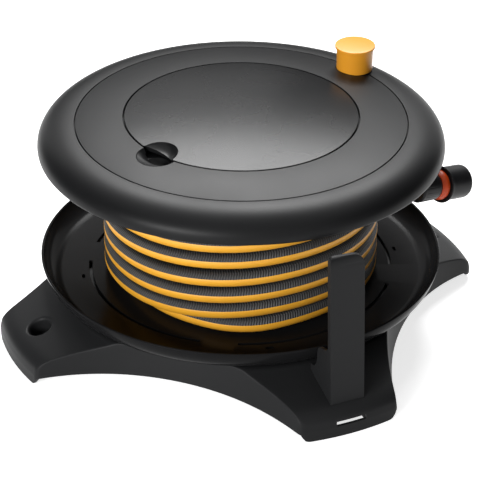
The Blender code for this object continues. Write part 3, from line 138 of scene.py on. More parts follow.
POCKET = dict(centre=118.4, azimuth=201.9, radius=20.9, depth=16.0, power=2, tilt=0.0, shelf=0.70,
              fall=0.11)    # hollow in the ring, see hollow_place
SCOOP = dict(centre=117.0, azimuth=200.5, radius=19.4, depth=5.5, power=4, tilt=0.16, shelf=0.0,
             fall=0.0)      # and in the lid
SCALLOP_DEPTH = 8           # bite of the recess out of the lid's edge
KNOB_SPOT = (164.3, 18.8)   # radius and azimuth
KNOB_Z = 223.1
KNOB_HEIGHT = 27.5
KNOB_CAP = 3.6
KNOB_RADII = (20.9, 19.1, 18.8)     # cap, neck and foot
PIN_HOLE = 5.3              # radius
PIN_ENDS = (203.7, 20.3)    # of its hole: in the flange, and above the knob's foot

# Hose and connector
HOSE = 17.5                 # diameter
HOSE_CREASE = 50            # degrees
STRIPE_HALF = 33.0          # degrees of the hose's section, each side of the stripe's middle
STRIPE_LOW = 18.0           # degrees that the stripe's middle lies below level
STRIPE_RISE = 0.22          # how far it stands out
STRIPE_STEP = 4.0           # degrees over which it does
SECTION = (33, 9)           # points of the section's knit and stripe
KNIT_LANES = 10.0           # lanes of stitches round the hose
STITCH = 2.5
KNIT_RELIEF = 0.25
COIL_RADIUS = 132.0
COIL_FROM = 149.5           # azimuths of its ends, counted on over the turns
COIL_TO = 2084.7
COIL_STEP = 4
COIL_BLEND = 12             # degrees each way that its bends are smoothed over
COIL_LOW_Z = 62.8           # where the hose comes out from the inner layers
FIRST_CLIMB = 246.0
TURN_LEVELS = (67.2, 84.8, 102.4, 121.0, 140.5, 158.1)
CLIMB_START, CLIMB_END = 152.0, 270.0
DIVE = ((150, 115.2), (165, 115.2), (180, 116.6), (190, 118.0), (205, 121.4), (216, 123.6),
        (226, 126.0), (236, 129.6), (244, 134.2), (254, 134.2), (268, 132.0))
SWELLS = (3.0, 3.0, 2.0)    # how far the lower turns stand out at the front left
SWELL_SPOTS = ((185, 0), (205, 1), (235, 1), (260, 0))      # azimuths and shares of that
SECOND_PITCH = 18.0
SECOND_LAYER = (113.8, 81.2, 4.0)   # radius, lowest middle and turns
FEED = (17.0, 103.5, 100.0, 123.5, 7.8)     # ends, azimuth, height and bore radius
HOSE_RUN = 100.2            # loose end: its reach, how far it sinks and its slope at the end
HOSE_FALL = 1.4
HOSE_DROOP = 12.0
NUT_HOLD = 9.0              # length inside the tail nut
CONNECTOR_BORE = 8.4
STEM = 8.1
GRIP = 17.3                 # radius of the collar
TAIL_NUT = 14.6             # radii of the nut and of its flutes' middles
FLUTES = 14.9

# Surfaces
CLOUDS = (14.0, 4.0)        # scale and detail of the changes of tone and gloss
GLOSS_SPREAD = 0.12
WAVE_SIZE = 40.0
BEVEL_SAMPLES = 6

# Camera, floor and light, in metres
CAMERA_AT = (-0.8381, -1.7716, 1.2382)
CAMERA_AZIMUTH = -25.3      # degrees that it looks away from +Y, negative towards +X
CAMERA_PITCH = 30.57        # degrees below level
CAMERA_ROLL = 0.34
LENS = 165.0                # millimetres
LIT_Z = 0.15                # height that the lamps face
FLOOR_HALF = 6.0
FLOOR_GLOW = 0.75
WORLD_LIGHT = 0.14
FLAG_FOOT = 0.02
FLAG_HALF = 0.01            # half its thickness


def polar(radius, degrees, z=0.0):
    turn = math.radians(degrees)
    return Vector((radius * math.cos(turn), radius * math.sin(turn), z))


def along(origin, direction):
    """Frame at origin whose Z runs along direction."""
    turned = Vector(direction).to_track_quat("Z", "Y").to_matrix().to_4x4()
    return Matrix.Translation(origin) @ turned


def spun(degrees):
    return Matrix.Rotation(math.radians(degrees), 4, "Z")


def facing(degrees):
    """Frame that looks outward at an azimuth: X across, Y up, Z outward."""
    return spun(degrees) @ Matrix(((0, 0, 1, 0), (1, 0, 0, 0), (0, 1, 0, 0), (0, 0, 0, 1)))


def bend(start, corner, end, steps):
    """Rounded corner from start to end, as points of a quadratic curve."""
    points = []
    for i in range(steps + 1):
        t = i / steps
        points.append(tuple((1 - t) ** 2 * a + 2 * t * (1 - t) * b + t * t * c
                            for a, b, c in zip(start, corner, end)))
    return points


def softened(outline, radius, steps=3):
    """Closed outline with its corners rounded."""
    points = []
    for i, point in enumerate(outline):
        here = Vector(point)
        before = Vector(outline[i - 1]) - here
        after = Vector(outline[(i + 1) % len(outline)]) - here
        turn = math.pi - before.angle(after)
        reach = min(radius * math.tan(turn / 2), before.length * 0.45, after.length * 0.45)
        points += bend(here + before.normalized() * reach, here, here + after.normalized() * reach,
                       steps)
    return points


def oblong(half, low, high, radius):
    return softened([(-half, low), (half, low), (half, high), (-half, high)], radius)


def run_lengths(points):
    """Distance along a row of points to each of them."""
    return np.concatenate([[0], np.cumsum(np.linalg.norm(np.diff(points, axis=0), axis=1))])


def strips(rows, count, joined, closed):
    """Faces between rows of count vertices.  joined: last row to first.  closed: within a row."""
    faces = []
    for i in range(rows if joined else rows - 1):
        here, after = i * count, (i + 1) % rows * count
        for j in range(count if closed else count - 1):
            k = (j + 1) % count
            faces.append((here + j, here + k, after + k, after + j))
    return faces


def solid(name, verts, faces, place=None):
    """Closed mesh object with its faces turned outward."""
    bm = bmesh.new()
    made = [bm.verts.new(v) for v in verts]
    for face in faces:
        bm.faces.new([made[i] for i in face])
    bmesh.ops.remove_doubles(bm, verts=bm.verts, dist=0.0005)
    bmesh.ops.dissolve_degenerate(bm, edges=bm.edges, dist=0.0005)
    bmesh.ops.recalc_face_normals(bm, faces=bm.faces)
    mesh = bpy.data.meshes.new(name)
    bm.to_mesh(mesh)
    bm.free()
    if place is not None:
        mesh.transform(place)
    obj = bpy.data.objects.new(name, mesh)
    scene.collection.objects.link(obj)
    return obj


def lathe(name, profile, steps=STEPS, place=None, soft=0.0, closed=True):
    """Solid of revolution of a (radius, height) profile, closed or running from axis to axis."""
    if soft:
        profile = softened(profile, soft)
    verts = []
    for i in range(steps):
        turn = 2 * math.pi * i / steps
        verts += [(r * math.cos(turn), r * math.sin(turn), z) for r, z in profile]
    return solid(name, verts, strips(steps, len(profile), True, closed), place)


def tube(name, inner, outer, low, high, steps=FINE_STEPS):
    return lathe(name, [(inner, high), (outer, high), (outer, low), (inner, low)], steps)


def prism(name, outline, low, high, place=None):
    """Flat outline extruded between two heights of its own Z."""
    count = len(outline)
    verts = [(x, y, z) for z in (low, high) for x, y in outline]
    faces = [tuple(range(count)), tuple(range(2 * count - 1, count - 1, -1))]
    faces += [(i, (i + 1) % count, count + (i + 1) % count, count + i) for i in range(count)]
    return solid(name, verts, faces, place)


def rod(name, radius, low, high, steps=FINE_STEPS, place=None):
    return lathe(name, [(0, high), (radius, high), (radius, low), (0, low)], steps, place,
                 closed=False)


def block(name, low, high, place=None):
    outline = [(low[0], low[1]), (high[0], low[1]), (high[0], high[1]), (low[0], high[1])]
    return prism(name, outline, low[2], high[2], place)


def boolean(obj, others, operation="DIFFERENCE"):
    """Boolean with other objects, which are used up."""
    for other in others:
        step = obj.modifiers.new("step", "BOOLEAN")
        step.operation = operation
        step.object = other
        step.solver = "EXACT"
    settle(obj)
    for other in others:
        bpy.data.objects.remove(other, do_unlink=True)
    return obj


def settle(obj):
    """Apply an object's modifiers."""
    graph = bpy.context.evaluated_depsgraph_get()
    mesh = bpy.data.meshes.new_from_object(obj.evaluated_get(graph))
    obj.modifiers.clear()
    obj.data = mesh


def dress(obj, body, look, slot, *nodes, crease=35):
    """Scale a piece to metres, shade it, and let it stand for its CAD nodes.

    crease is the angle in degrees from which an edge is shaded sharp.
    """
    obj.data.transform(Matrix.Diagonal((MM, MM, MM, 1)))
    obj.data.materials.clear()
    obj.data.materials.append(look)
    obj.data.shade_smooth()
    obj.data.set_sharp_from_angle(angle=math.radians(crease))
    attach(obj, body)
    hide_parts(*nodes)


# Materials

def fill(made, inputs):
    """Give a node's inputs their values, or link them where a socket is given.  None is left."""
    for key, value in inputs.items():
        if isinstance(value, bpy.types.NodeSocket):
            made.id_data.links.new(value, made.inputs[key])
        elif value is not None:
            made.inputs[key].default_value = value


def node(tree, kind, inputs, **settings):
    made = tree.nodes.new(kind)
    for key, value in settings.items():
        setattr(made, key, value)
    fill(made, inputs)
    return made.outputs


def mixed(tree, factor, a, b):
    return node(tree, "ShaderNodeMix", {"Factor": factor, "A": a, "B": b},
                data_type="RGBA")["Result"]


def maths(tree, operation, a, b=0.0, c=0.0):
    return node(tree, "ShaderNodeMath", {0: a, 1: b, 2: c}, operation=operation)[0]


def material(name):
    """New material, its node tree and its shader."""
    made = bpy.data.materials.new(name)
    made.use_nodes = True
    return made, made.node_tree, made.node_tree.nodes["Principled BSDF"]


def surface(name, colour, rough, grain=0.0, grain_size=0.6, wave=0.0, mottle=0.12, edge=0.0,
            metal=0.0, specular=0.5):
    """Moulded or metal surface: fine grain, soft waviness and slight changes of tone and gloss.

    grain and wave are heights in millimetres, edge is how far its edges look rounded.
    """
    made, tree, shader = material(name)
    place = node(tree, "ShaderNodeTexCoord", {})["Object"]
    cloud = node(tree, "ShaderNodeTexNoise",
                 {"Scale": CLOUDS[0], "Detail": CLOUDS[1], "Vector": place})["Fac"]
    tone = mixed(tree, cloud, (*[c * (1 - mottle) for c in colour], 1),
                 (*[min(c * (1 + mottle), 1) for c in colour], 1))
    low, high = rough * (1 - GLOSS_SPREAD), min(rough * (1 + GLOSS_SPREAD), 1)
    gloss = node(tree, "ShaderNodeMapRange",
                 {"To Min": low, "To Max": high, "Value": cloud})["Result"]
    last = None
    if edge:
        last = node(tree, "ShaderNodeBevel", {"Radius": edge * MM},
                    samples=BEVEL_SAMPLES)["Normal"]
    for strength, size in ((wave, WAVE_SIZE), (grain, grain_size)):
        if strength:
            ripple = node(tree, "ShaderNodeTexNoise",
                          {"Scale": 1 / (size * MM), "Detail": 3.0, "Vector": place})["Fac"]
            last = node(tree, "ShaderNodeBump",
                        {"Distance": strength * MM, "Height": ripple, "Normal": last})["Normal"]
    fill(shader, {"Metallic": metal, "Specular IOR Level": specular, "Base Color": tone,
                  "Roughness": gloss, "Normal": last})
    return made


CHARCOAL = surface("charcoal_plastic", (0.0140, 0.0143, 0.0150), 0.46, grain=0.05, edge=0.5,
                   specular=0.12)
SATIN = surface("satin_plastic", (0.0085, 0.0087, 0.0092), 0.40, grain=0.03, grain_size=0.5,
                edge=0.4, specular=0.12)
LID = surface("lid_plastic", (0.0085, 0.0087, 0.0092), 0.27, grain=0.015, grain_size=0.5, edge=0.4,
              specular=0.12)
DISH = surface("dish_plastic", (0.0110, 0.0110, 0.0115), 0.20, wave=0.06, grain=0.006, edge=0.4,
               specular=0.03)
PALE = surface("pale_plastic", (0.60, 0.59, 0.55), 0.42, grain=0.02, edge=0.3)
AMBER = surface("amber_plastic", (0.80, 0.335, 0.025), 0.34, grain=0.012, mottle=0.05, edge=0.3,
                specular=0.3)
FLAME = surface("flame_plastic", (0.60, 0.060, 0.006), 0.30, grain=0.01, mottle=0.05, edge=0.3,
                specular=0.3)
BLACK = surface("connector_plastic", (0.0100, 0.0100, 0.0110), 0.38, grain=0.03, edge=0.3,
                specular=0.15)
SOFT = surface("soft_rubber", (0.016, 0.016, 0.017), 0.62, grain=0.04, edge=0.3, specular=0.2)
STEEL = surface("steel", (0.56, 0.56, 0.57), 0.28, grain=0.01, grain_size=0.3, metal=1.0, edge=0.2)
BRASS = surface("brass", (0.66, 0.46, 0.20), 0.26, grain=0.01, grain_size=0.3, metal=1.0, edge=0.2)


def hose_look():
    """Black hose with a fine knit relief, a painted highlight on its stitch crests, and a smooth
    amber stripe, told apart by UV.

    Its U is the distance along the hose in millimetres, its V the turn from the stripe's middle.
    """
    made, tree, shader = material("hose_rubber")
    uv = node(tree, "ShaderNodeUVMap", {}, uv_map="run")["UV"]
    split = node(tree, "ShaderNodeSeparateXYZ", {"Vector": uv})
    run, around = split["X"], split["Y"]
    off = maths(tree, "ABSOLUTE", around)
    stripe = maths(tree, "LESS_THAN", off, STRIPE_HALF / 360.0 + 0.002)
    # Knit: slanted stitches in lanes whose slant changes from lane to lane.
    lane = maths(tree, "MULTIPLY", around, KNIT_LANES)
    slant = maths(tree, "MULTIPLY", maths(tree, "PINGPONG", lane, 1.0), 0.5)
    place = maths(tree, "ADD", maths(tree, "MULTIPLY", run, 1 / STITCH), slant)
    stitch = maths(tree, "SINE", maths(tree, "MULTIPLY", place, 2 * math.pi))
    furrow = maths(tree, "SINE", maths(tree, "MULTIPLY", lane, math.pi))
    relief = maths(tree, "ADD", stitch, maths(tree, "MULTIPLY", furrow, 0.4))
    relief = maths(tree, "MULTIPLY", relief, maths(tree, "SUBTRACT", 1.0, stripe))
    bump = node(tree, "ShaderNodeBump", {"Distance": KNIT_RELIEF * MM, "Height": relief})
    spot = node(tree, "ShaderNodeTexCoord", {})["Object"]
    cloud = node(tree, "ShaderNodeTexNoise", {"Scale": 60.0, "Vector": spot})["Fac"]
    amber = mixed(tree, cloud, (0.80, 0.37, 0.026, 1), (0.88, 0.43, 0.034, 1))
    # Painted highlight: the stitch crests are coloured lighter than the knit between them, standing
    # in for light caught on the raised yarns.
    painted_stitch_highlight = maths(tree, "POWER", maths(tree, "MULTIPLY_ADD", stitch, 0.5, 0.5), 2.0)
    dark = mixed(tree, painted_stitch_highlight, (0.004, 0.004, 0.004, 1), (0.045, 0.045, 0.046, 1))
    fill(shader, {"Specular IOR Level": 0.55, "Base Color": mixed(tree, stripe, dark, amber),
                  "Roughness": maths(tree, "MULTIPLY_ADD", stripe, -0.12, 0.52),
                  "Normal": bump["Normal"]})
    return made


HOSE_LOOK = hose_look()


def hose(name, points, out_from_axis):
    """Round hose with a slightly raised stripe, laid along points, with its run and turn as UV.

    The stripe faces away from the Z axis if out_from_axis is set, otherwise to the hose's right.
    """
    path = np.array([tuple(p) for p in points])
    ahead = np.gradient(path, axis=0)
    ahead /= np.linalg.norm(ahead, axis=1)[:, None]
    if out_from_axis:
        out = path * (1, 1, 0)
    else:
        out = np.cross(ahead, (0, 0, 1))
    out -= ahead * (out * ahead).sum(1)[:, None]
    out /= np.linalg.norm(out, axis=1)[:, None]
    up = np.cross(out, ahead)
    up *= np.sign(up[:, 2:3])
    sides = np.linspace(STRIPE_HALF, 360 - STRIPE_HALF, SECTION[0])
    turns = np.concatenate([np.linspace(-STRIPE_HALF, STRIPE_HALF, SECTION[1]), sides[1:-1]])
    off = (turns + 180) % 360 - 180
    edge = np.minimum(np.abs(np.abs(off) - STRIPE_HALF) / STRIPE_STEP, 1.0)
    inside = np.abs(off) <= STRIPE_HALF + 0.01
    radii = HOSE / 2 - np.where(inside, 0.0, STRIPE_RISE * edge)
    count = len(turns)
    angle = np.radians(turns - STRIPE_LOW)
    ring = (np.cos(angle) * radii)[None, :, None] * out[:, None] \
        + (np.sin(angle) * radii)[None, :, None] * up[:, None] + path[:, None]
    verts = ring.reshape(-1, 3)
    rows = len(path)
    faces = strips(rows, count, False, True)
    faces.append(tuple(range(count)))
    faces.append(tuple(range(rows * count - 1, (rows - 1) * count - 1, -1)))
    mesh = bpy.data.meshes.new(name)
    mesh.from_pydata([tuple(v) for v in verts], [], faces)
    length = run_lengths(path)
    layer = mesh.uv_layers.new(name="run")
    share = off / 360.0
    for polygon in mesh.polygons:
        if len(polygon.vertices) > 4:       # an end
            continue
        for loop, vertex in zip(polygon.loop_indices, polygon.vertices):
            row, column = divmod(vertex, count)
            layer.data[loop].uv = (length[row], share[column])
        corners = [layer.data[loop] for loop in polygon.loop_indices]
        across = [corner.uv[1] for corner in corners]
        if max(across) - min(across) > 0.5:     # where the turn jumps back
            for corner in corners:
                if corner.uv[1] < 0:
                    corner.uv[1] += 1.0
    bm = bmesh.new()
    bm.from_mesh(mesh)
    bmesh.ops.recalc_face_normals(bm, faces=bm.faces)
    bm.to_mesh(mesh)
    bm.free()
    obj = bpy.data.objects.new(name, mesh)
    scene.collection.objects.link(obj)
    return obj


# Star base

def arch_z(across):
    """Height of the base's lower edge at a distance from the middle of a side."""
    knee = (ARCH_SPAN - 10, 9)
    points = bend((0, ARCH_RISE), (ARCH_SPAN * 0.57, ARCH_RISE), knee, 24)
    points += bend(knee, (knee[0], 0), (ARCH_SPAN, 0), 24)[1:]
    table = np.array(points)
    return np.maximum(np.interp(np.abs(across), table[:, 0], table[:, 1], right=0), BASE_EDGE_Z)


def top_profile(steps=10):
    """Top of the base from the axis out over a foot, as radii and heights."""
    slope = (NECK[2] - TOE[1]) / (TOE[0] - NECK[1])
    end_z = NECK[2] - (FOOT_REACH - NECK[1]) * slope
    profile = [(0, BASE_TOP)]
    profile += bend((NECK[0], BASE_TOP), (NECK[0] + 4.5, BASE_TOP - 3), (NECK[1], NECK[2]), steps)
    profile += bend((TOE[0], TOE[1]), (FOOT_REACH, end_z), (FOOT_REACH, TOE[2]), steps)
    return np.array(profile)


def star_radius(azimuth, inset):
    """Axis to the concave side, level with the arch, for azimuths in degrees."""
    off = np.radians((azimuth % 90) - 45)
    radius = SIDE_RADIUS + inset
    root = radius ** 2 - (SIDE_CENTRE * np.sin(off)) ** 2
    near = SIDE_CENTRE * np.cos(off) - np.sqrt(np.maximum(root, 0))
    return np.where(root > 0, near, SIDE_CENTRE)


def eased(a, b, reach):
    """The lesser of two lengths, with the change between them rounded."""
    share = np.clip(0.5 + (b - a) / (2 * reach), 0, 1)
    return b + (a - b) * share - reach * share * (1 - share)


def even_azimuths(inset):
    """Azimuths of sections at even distances round the star."""
    fine = np.arange(0, 360, 0.02)
    outline = np.minimum(star_radius(fine, inset), FOOT_REACH)
    spots = np.stack([outline * np.cos(np.radians(fine)), outline * np.sin(np.radians(fine))], 1)
    run = run_lengths(spots)
    return np.interp(np.linspace(0, run[-1], STAR_ROWS, endpoint=False), run, fine)


def base_body(name, inset, crease, low=None):
    """Star-shaped solid under the top profile, drawn in by inset, with a rounded crease.

    Its lower edge follows the arches, or lies level at low where that is given.
    """
    profile = top_profile()
    reach = FOOT_REACH - inset

    def top_z(radius):
        rising = profile[:, 0] - np.linspace(0, 1e-3, len(profile))[::-1]
        return float(np.interp(radius, rising, profile[:, 1]) - inset)

    def side(azimuth, z):
        scale = 1 - SIDE_LEAN * (z - ARCH_RISE)
        return float(eased(star_radius(azimuth, inset) * scale, reach, SIDE_TURN))

    rows = []
    for azimuth in even_azimuths(inset):
        # The corner is where the side meets the top, found by halving.
        inner, outer = 100.0, reach
        for _ in range(30):
            corner = (inner + outer) / 2
            if side(azimuth, top_z(corner)) > corner:
                inner = corner
            else:
                outer = corner
        corner = (inner + outer) / 2
        corner_z = top_z(corner)
        change = (side(azimuth + 0.1, corner_z) - side(azimuth - 0.1, corner_z)) \
            / math.radians(0.2)
        start = corner - crease * math.hypot(1, change / corner)
        if low is None:
            across = side(azimuth, ARCH_RISE) * math.sin(math.radians(azimuth % 90 - 45))
            ground = float(arch_z(across))
            middle_z = ground * 0.5 + 4
        else:
            ground = middle_z = low
        fall = max(corner_z - crease, ground + 0.5)
        section = [(min(r, start), top_z(min(r, start))) for r in TOP_RADII]
        section += bend((start, top_z(start)), (corner, corner_z), (side(azimuth, fall), fall), 5)
        for i in range(1, 9):
            z = fall + (ground - fall) * i / 8
            section.append((side(azimuth, z), z))
        edge = side(azimuth, ground)
        section += [(edge - 12, ground), (edge * 0.6, middle_z)]
        turn = math.radians(azimuth)
        rows.append([(r * math.cos(turn), r * math.sin(turn), z) for r, z in section])
    count = len(rows[0])
    faces = strips(len(rows), count, True, False)
    faces.append(tuple(i * count for i in range(len(rows))))
    faces.append(tuple(i * count + count - 1 for i in reversed(range(len(rows)))))
    return solid(name, [v for row in rows for v in row], faces)


def socket_place(foot):
    """Frame of a peg socket's mouth, square to the top of its foot."""
    slope = math.atan2(NECK[2] - TOE[1], TOE[0] - NECK[1])
    z = NECK[2] - (SOCKET_REACH - NECK[1]) * math.tan(slope)
    outward = polar(math.sin(slope), 90 * foot) + Vector((0, 0, math.cos(slope)))
    return along(polar(SOCKET_REACH, 90 * foot, z), outward)


def socket_well(place):
    """Cutter for a peg socket with its rounded mouth."""
    mouth = SOCKET_BORE + SOCKET_LIP
    well = [(0, 6), (mouth + 6, 6), (mouth + 1.2, 0.25)]
    well += bend((mouth, 0), (SOCKET_BORE + 0.4, -0.4), (SOCKET_BORE, -SOCKET_LIP), 8)
    well += [(SOCKET_BORE, -SOCKET_DEPTH), (0, -SOCKET_DEPTH)]
    return lathe("well", well, FINE_STEPS, place, closed=False)


def make_rib_web():
    """Crossing ribs under the base, joined by a ring."""
    high = BASE_TOP + WALL
    ribs = []
    for lane in (-RIB_LANE, RIB_LANE):
        near, far = lane - RIB_HALF, lane + RIB_HALF
        ribs.append(block("rib", (-RIB_END, near, RIB_LOW), (RIB_END, far, high)))
        ribs.append(block("rib", (near, -RIB_END, RIB_LOW), (far, RIB_END, high)))
    web = boolean(ribs[0], ribs[1:], "UNION")
    boolean(web, [rod("hub", RIB_RING, 0, 60)])
    ring = tube("ring", RIB_RING - RIB_HALF, RIB_RING + RIB_HALF, RIB_LOW, high)
    return boolean(web, [ring], "UNION")


def make_base():
    base = base_body("base", 0.0, CREASE)
    hollow = base_body("hollow", WALL, INNER_CREASE, low=-REACH)
    keeps = [make_rib_web()]
    bores = []
    for foot in range(4):
        for side in (-1, 1):
            spot = Matrix.Translation(polar(PAD_SPOT[0], 90 * foot)
                                      + polar(PAD_SPOT[1] * side, 90 * foot + 90))
            keeps.append(rod("boss", *PAD_BOSS, BASE_TOP, BOSS_STEPS, spot))
            bores.append(rod("stud", PAD_STUD[0], 0, PAD_STUD[1], HOLE_STEPS, spot))
        if foot < 3:
            place = socket_place(foot)
            keeps.append(rod("socket_wall", SOCKET_BORE + SOCKET_WALL, -SOCKET_DEPTH - SOCKET_WALL,
                             REACH, BORE_STEPS, place))
            bores.append(socket_well(place))
    for side in (-1, 1):
        spot = Matrix.Translation((side * POST_SCREW[0], POST_SCREW[1], 0))
        keeps.append(rod("post_boss", *POST_BOSS, BASE_TOP, BOSS_STEPS, spot))
        bores.append(rod("post_hole", SCREW_HOLE, 0, BASE_TOP, HOLE_STEPS, spot))
    boolean(hollow, keeps)
    boolean(base, [hollow])
    inlet = along((0, 0, INLET_Z), polar(1, INLET_AZIMUTH))
    boolean(base, [rod("inlet_boss", *INLET_BOSS, BORE_STEPS, inlet)], "UNION")
    bores.append(rod("inlet_hole", *INLET_HOLE, BORE_STEPS, inlet))
    bores.append(rod("spindle_hole", HUB, 0, SPINDLE_CUT))
    bores.append(tube("seat", *BEARING_SEAT, BASE_TOP + WALL))
    bores.append(prism("slot", oblong(*STRAP_SLOT, 1.2), FOOT_REACH - 6, FOOT_REACH + 3,
                       facing(-90)))
    for i in range(4):
        spot = Matrix.Translation(polar(SPINDLE_SCREWS[0], SPINDLE_SCREWS[1] + 90 * i))
        bores.append(rod("flange_hole", SCREW_HOLE, 30, SPINDLE_CUT, HOLE_STEPS, spot))
    boolean(base, bores)
    dress(base, "base", CHARCOAL, "charcoal_plastic", "base_star")


def post_front(z):
    """Y of the post's front at a height.  It leans back towards its top."""
    share = (z - TOE[1]) / (POST_TOP - TOE[1])
    return -POST_FRONT[0] + (POST_FRONT[0] - POST_FRONT[1]) * share


def make_post():
    """Guide post: a side view, extruded, cut to a front view, hollowed and seated on the base."""
    top_y = post_front(POST_TOP)
    dish_y = -DISH_RADIUS - 3
    outline = [(post_front(BASE_EDGE_Z), BASE_EDGE_Z)]
    outline += bend((post_front(POST_TOP - 13), POST_TOP - 13), (top_y, POST_TOP),
                    (top_y + 5, POST_TOP), 12)
    outline += [(top_y + POST_DEPTH, POST_TOP)]
    outline += bend((post_front(GUSSET_TOP) + POST_DEPTH, GUSSET_TOP), (-227, 83), (-216, 81), 6)
    outline += bend((-216, 81), (dish_y, 79), (dish_y, 70), 6)[1:]
    outline += bend((dish_y, 70), (dish_y, DISH_UNDER), (POST_HEEL, 51.6), 12)[1:]
    outline += [(POST_HEEL, BASE_EDGE_Z)]
    half = POST_WIDTH / 2
    post = prism("post", outline, -half, half, facing(0))
    left = POST_LEFT - half
    flare = half + 3
    face = [(flare, 0), (flare, POST_TOP - 17)]
    face += bend((half, POST_TOP - 14), (half, POST_TOP - 1.5), (half - 13, POST_TOP - 1.0), 12)
    face += bend((left + 6, POST_TOP), (left, POST_TOP), (left, POST_TOP - 6), 10)
    face += [(-flare, POST_TOP - 12), (-flare, 0)]
    boolean(post, [prism("face", face, -POST_FRONT[0], FOOT_REACH + REACH, facing(-90))],
            "INTERSECT")
    boolean(post, [block("side", (-half - 9, -FOOT_REACH - REACH, -REACH),
                         (left, 0, POST_TOP + REACH))])
    soften = post.modifiers.new("soften", "BEVEL")
    soften.width = 1.4
    soften.segments = 4
    soften.limit_method = "ANGLE"
    soften.angle_limit = math.radians(50)
    settle(post)
    low, high = CHANNEL
    channel = softened([(post_front(low) + WALL, low), (post_front(high) + WALL, high),
                        (0, high), (0, low)], 1.0)
    inner = half - POST_LEFT - WALL
    boolean(post, [prism("channel", channel, -inner, inner, facing(0))])
    seat = [tuple(p + (0, CLEAR)) for p in top_profile()]
    seat += [(FOOT_REACH + CLEAR, TOE[2]), (FOOT_REACH + CLEAR, -REACH), (0, -REACH)]
    boolean(post, [lathe("seat", seat, closed=False)])
    dress(post, "base", CHARCOAL, "charcoal_plastic", "guide_post")


# Drum

def make_dish():
    floor = DISH_UNDER + WALL
    outside = [(DISH_RADIUS, DISH_TOP - 0.8)]
    outside += bend((DISH_RADIUS, DISH_TOP - 1.6), (DISH_RADIUS - 3.8, DISH_UNDER + 2.2),
                    (DISH_FLOOR, DISH_UNDER), 16)
    hub = [(HUB, DISH_UNDER), (HUB, HUB_TOP), (HUB + HUB_WALL, HUB_TOP), (HUB + HUB_WALL, floor)]
    inside = bend((DISH_FLOOR, floor), (DISH_RADIUS - 6.4, floor + 2.2),
                  (DISH_RADIUS - 2.6, DISH_TOP - 1.6), 16)
    dish = lathe("dish", [(DISH_RADIUS - 1.8, DISH_TOP), (DISH_RADIUS - 0.8, DISH_TOP)]
                 + outside + hub + inside + [(DISH_RADIUS - 2.6, DISH_TOP - 0.8)])
    low, high = DISH_UNDER - 3, floor + 3
    ribs, cuts = [], []
    for i in range(4):
        ribs.append(block("rib", (HUB + 3, -RIB_HALF, floor - 1.5), (90, RIB_HALF, 74),
                          spun(90 * i)))
        arc = np.linspace(64, 140, 39) + 90 * i
        band = [tuple(polar(DRAIN[1], a)[:2]) for a in arc]
        band += [tuple(polar(DRAIN[0], a)[:2]) for a in reversed(arc)]
        cuts.append(prism("drain", band, low, high))
        place = spun(90 * i - 15) @ Matrix.Translation((164, 0, 0))
        cuts.append(prism("key", oblong(1.5, -4, 4, 1.4), low, high, place))
        hole = Matrix.Translation(polar(97, 22.5 + 90 * i))
        cuts.append(rod("hole", SCREW_HOLE, low, high, HOLE_STEPS, hole))
    boolean(dish, ribs, "UNION")
    boolean(dish, cuts)
    dress(dish, "drum", DISH, "dish_plastic", "lower_flange")


def quarter(centre, wide, high, power, steps):
    """Quarter of a superellipse, from its top outward."""
    points = []
    for i in range(steps + 1):
        turn = math.pi / 2 * i / steps
        points.append((centre[0] + wide * math.sin(turn) ** (2 / power),
                       centre[1] + high * max(math.cos(turn), 0.0) ** (2 / power)))
    return points


def knob_place(z=0.0):
    return Matrix.Translation(polar(KNOB_SPOT[0], KNOB_SPOT[1], z))


def make_upper_flange():
    under = RIM_Z - 3.8
    outside = quarter((GROOVE, RIM_Z), RIM_RADIUS - GROOVE, GROOVE_Z - RIM_Z, 2.15, 32)[1:]
    lip = bend((RIM_RADIUS, RIM_Z), (RIM_RADIUS, under), (RIM_RADIUS - 3.8, under), 8)[1:]
    inside = quarter((GROOVE, RIM_Z), RIM_RADIUS - GROOVE - 3, GROOVE_Z - RIM_Z - 3, 2.15, 20)
    inside = [p for p in reversed(inside) if p[1] > ABOVE_WEB and p[0] > GROOVE + 3]
    ledge = GROOVE_Z - 2.8
    edge = GROOVE + 0.4
    lip_in = RIM_RADIUS - 6.4
    web = [(lip_in, WEB_LOW), (91, WEB_LOW), (91, WEB_TOP), (inside[0][0], WEB_TOP)]
    step = [(inside[-1][0], ledge - SKIN), (158, ledge - SKIN), (158, ledge), (edge, ledge)]
    flange = lathe("flange", [(edge, GROOVE_Z - 0.35), (edge + 0.35, GROOVE_Z)] + outside + lip
                   + [(lip_in, under)] + web + inside + step)
    joined = [block("rib", (112, -RIB_HALF, WEB_MIDDLE), (GROOVE, RIB_HALF, 218.4), spun(45 * i))
              for i in range(8)]
    joined.append(rod("seat", KNOB_RADII[2], WEB_MIDDLE, KNOB_Z - CLEAR, FINE_STEPS, knob_place()))
    boolean(flange, joined, "UNION")
    boolean(flange, [rod("hole", PIN_HOLE, PIN_ENDS[0], 250, BOSS_STEPS, knob_place())])
    dress(flange, "drum", SATIN, "satin_plastic", "upper_flange")


def bowl(name, radius, depth, z, steps=96, rings=14):
    """Half an ellipsoid below its rim, carried straight up above it, at the finger recess."""
    profile = [(0, REACH), (radius, REACH), (radius, 0)]
    for i in range(1, rings):
        turn = math.pi / 2 * i / rings
        profile.append((radius * math.cos(turn), -depth * math.sin(turn)))
    profile.append((0, -depth))
    place = Matrix.Translation(polar(FINGER[0], FINGER[1], z))
    return lathe(name, profile, steps, place, closed=False)


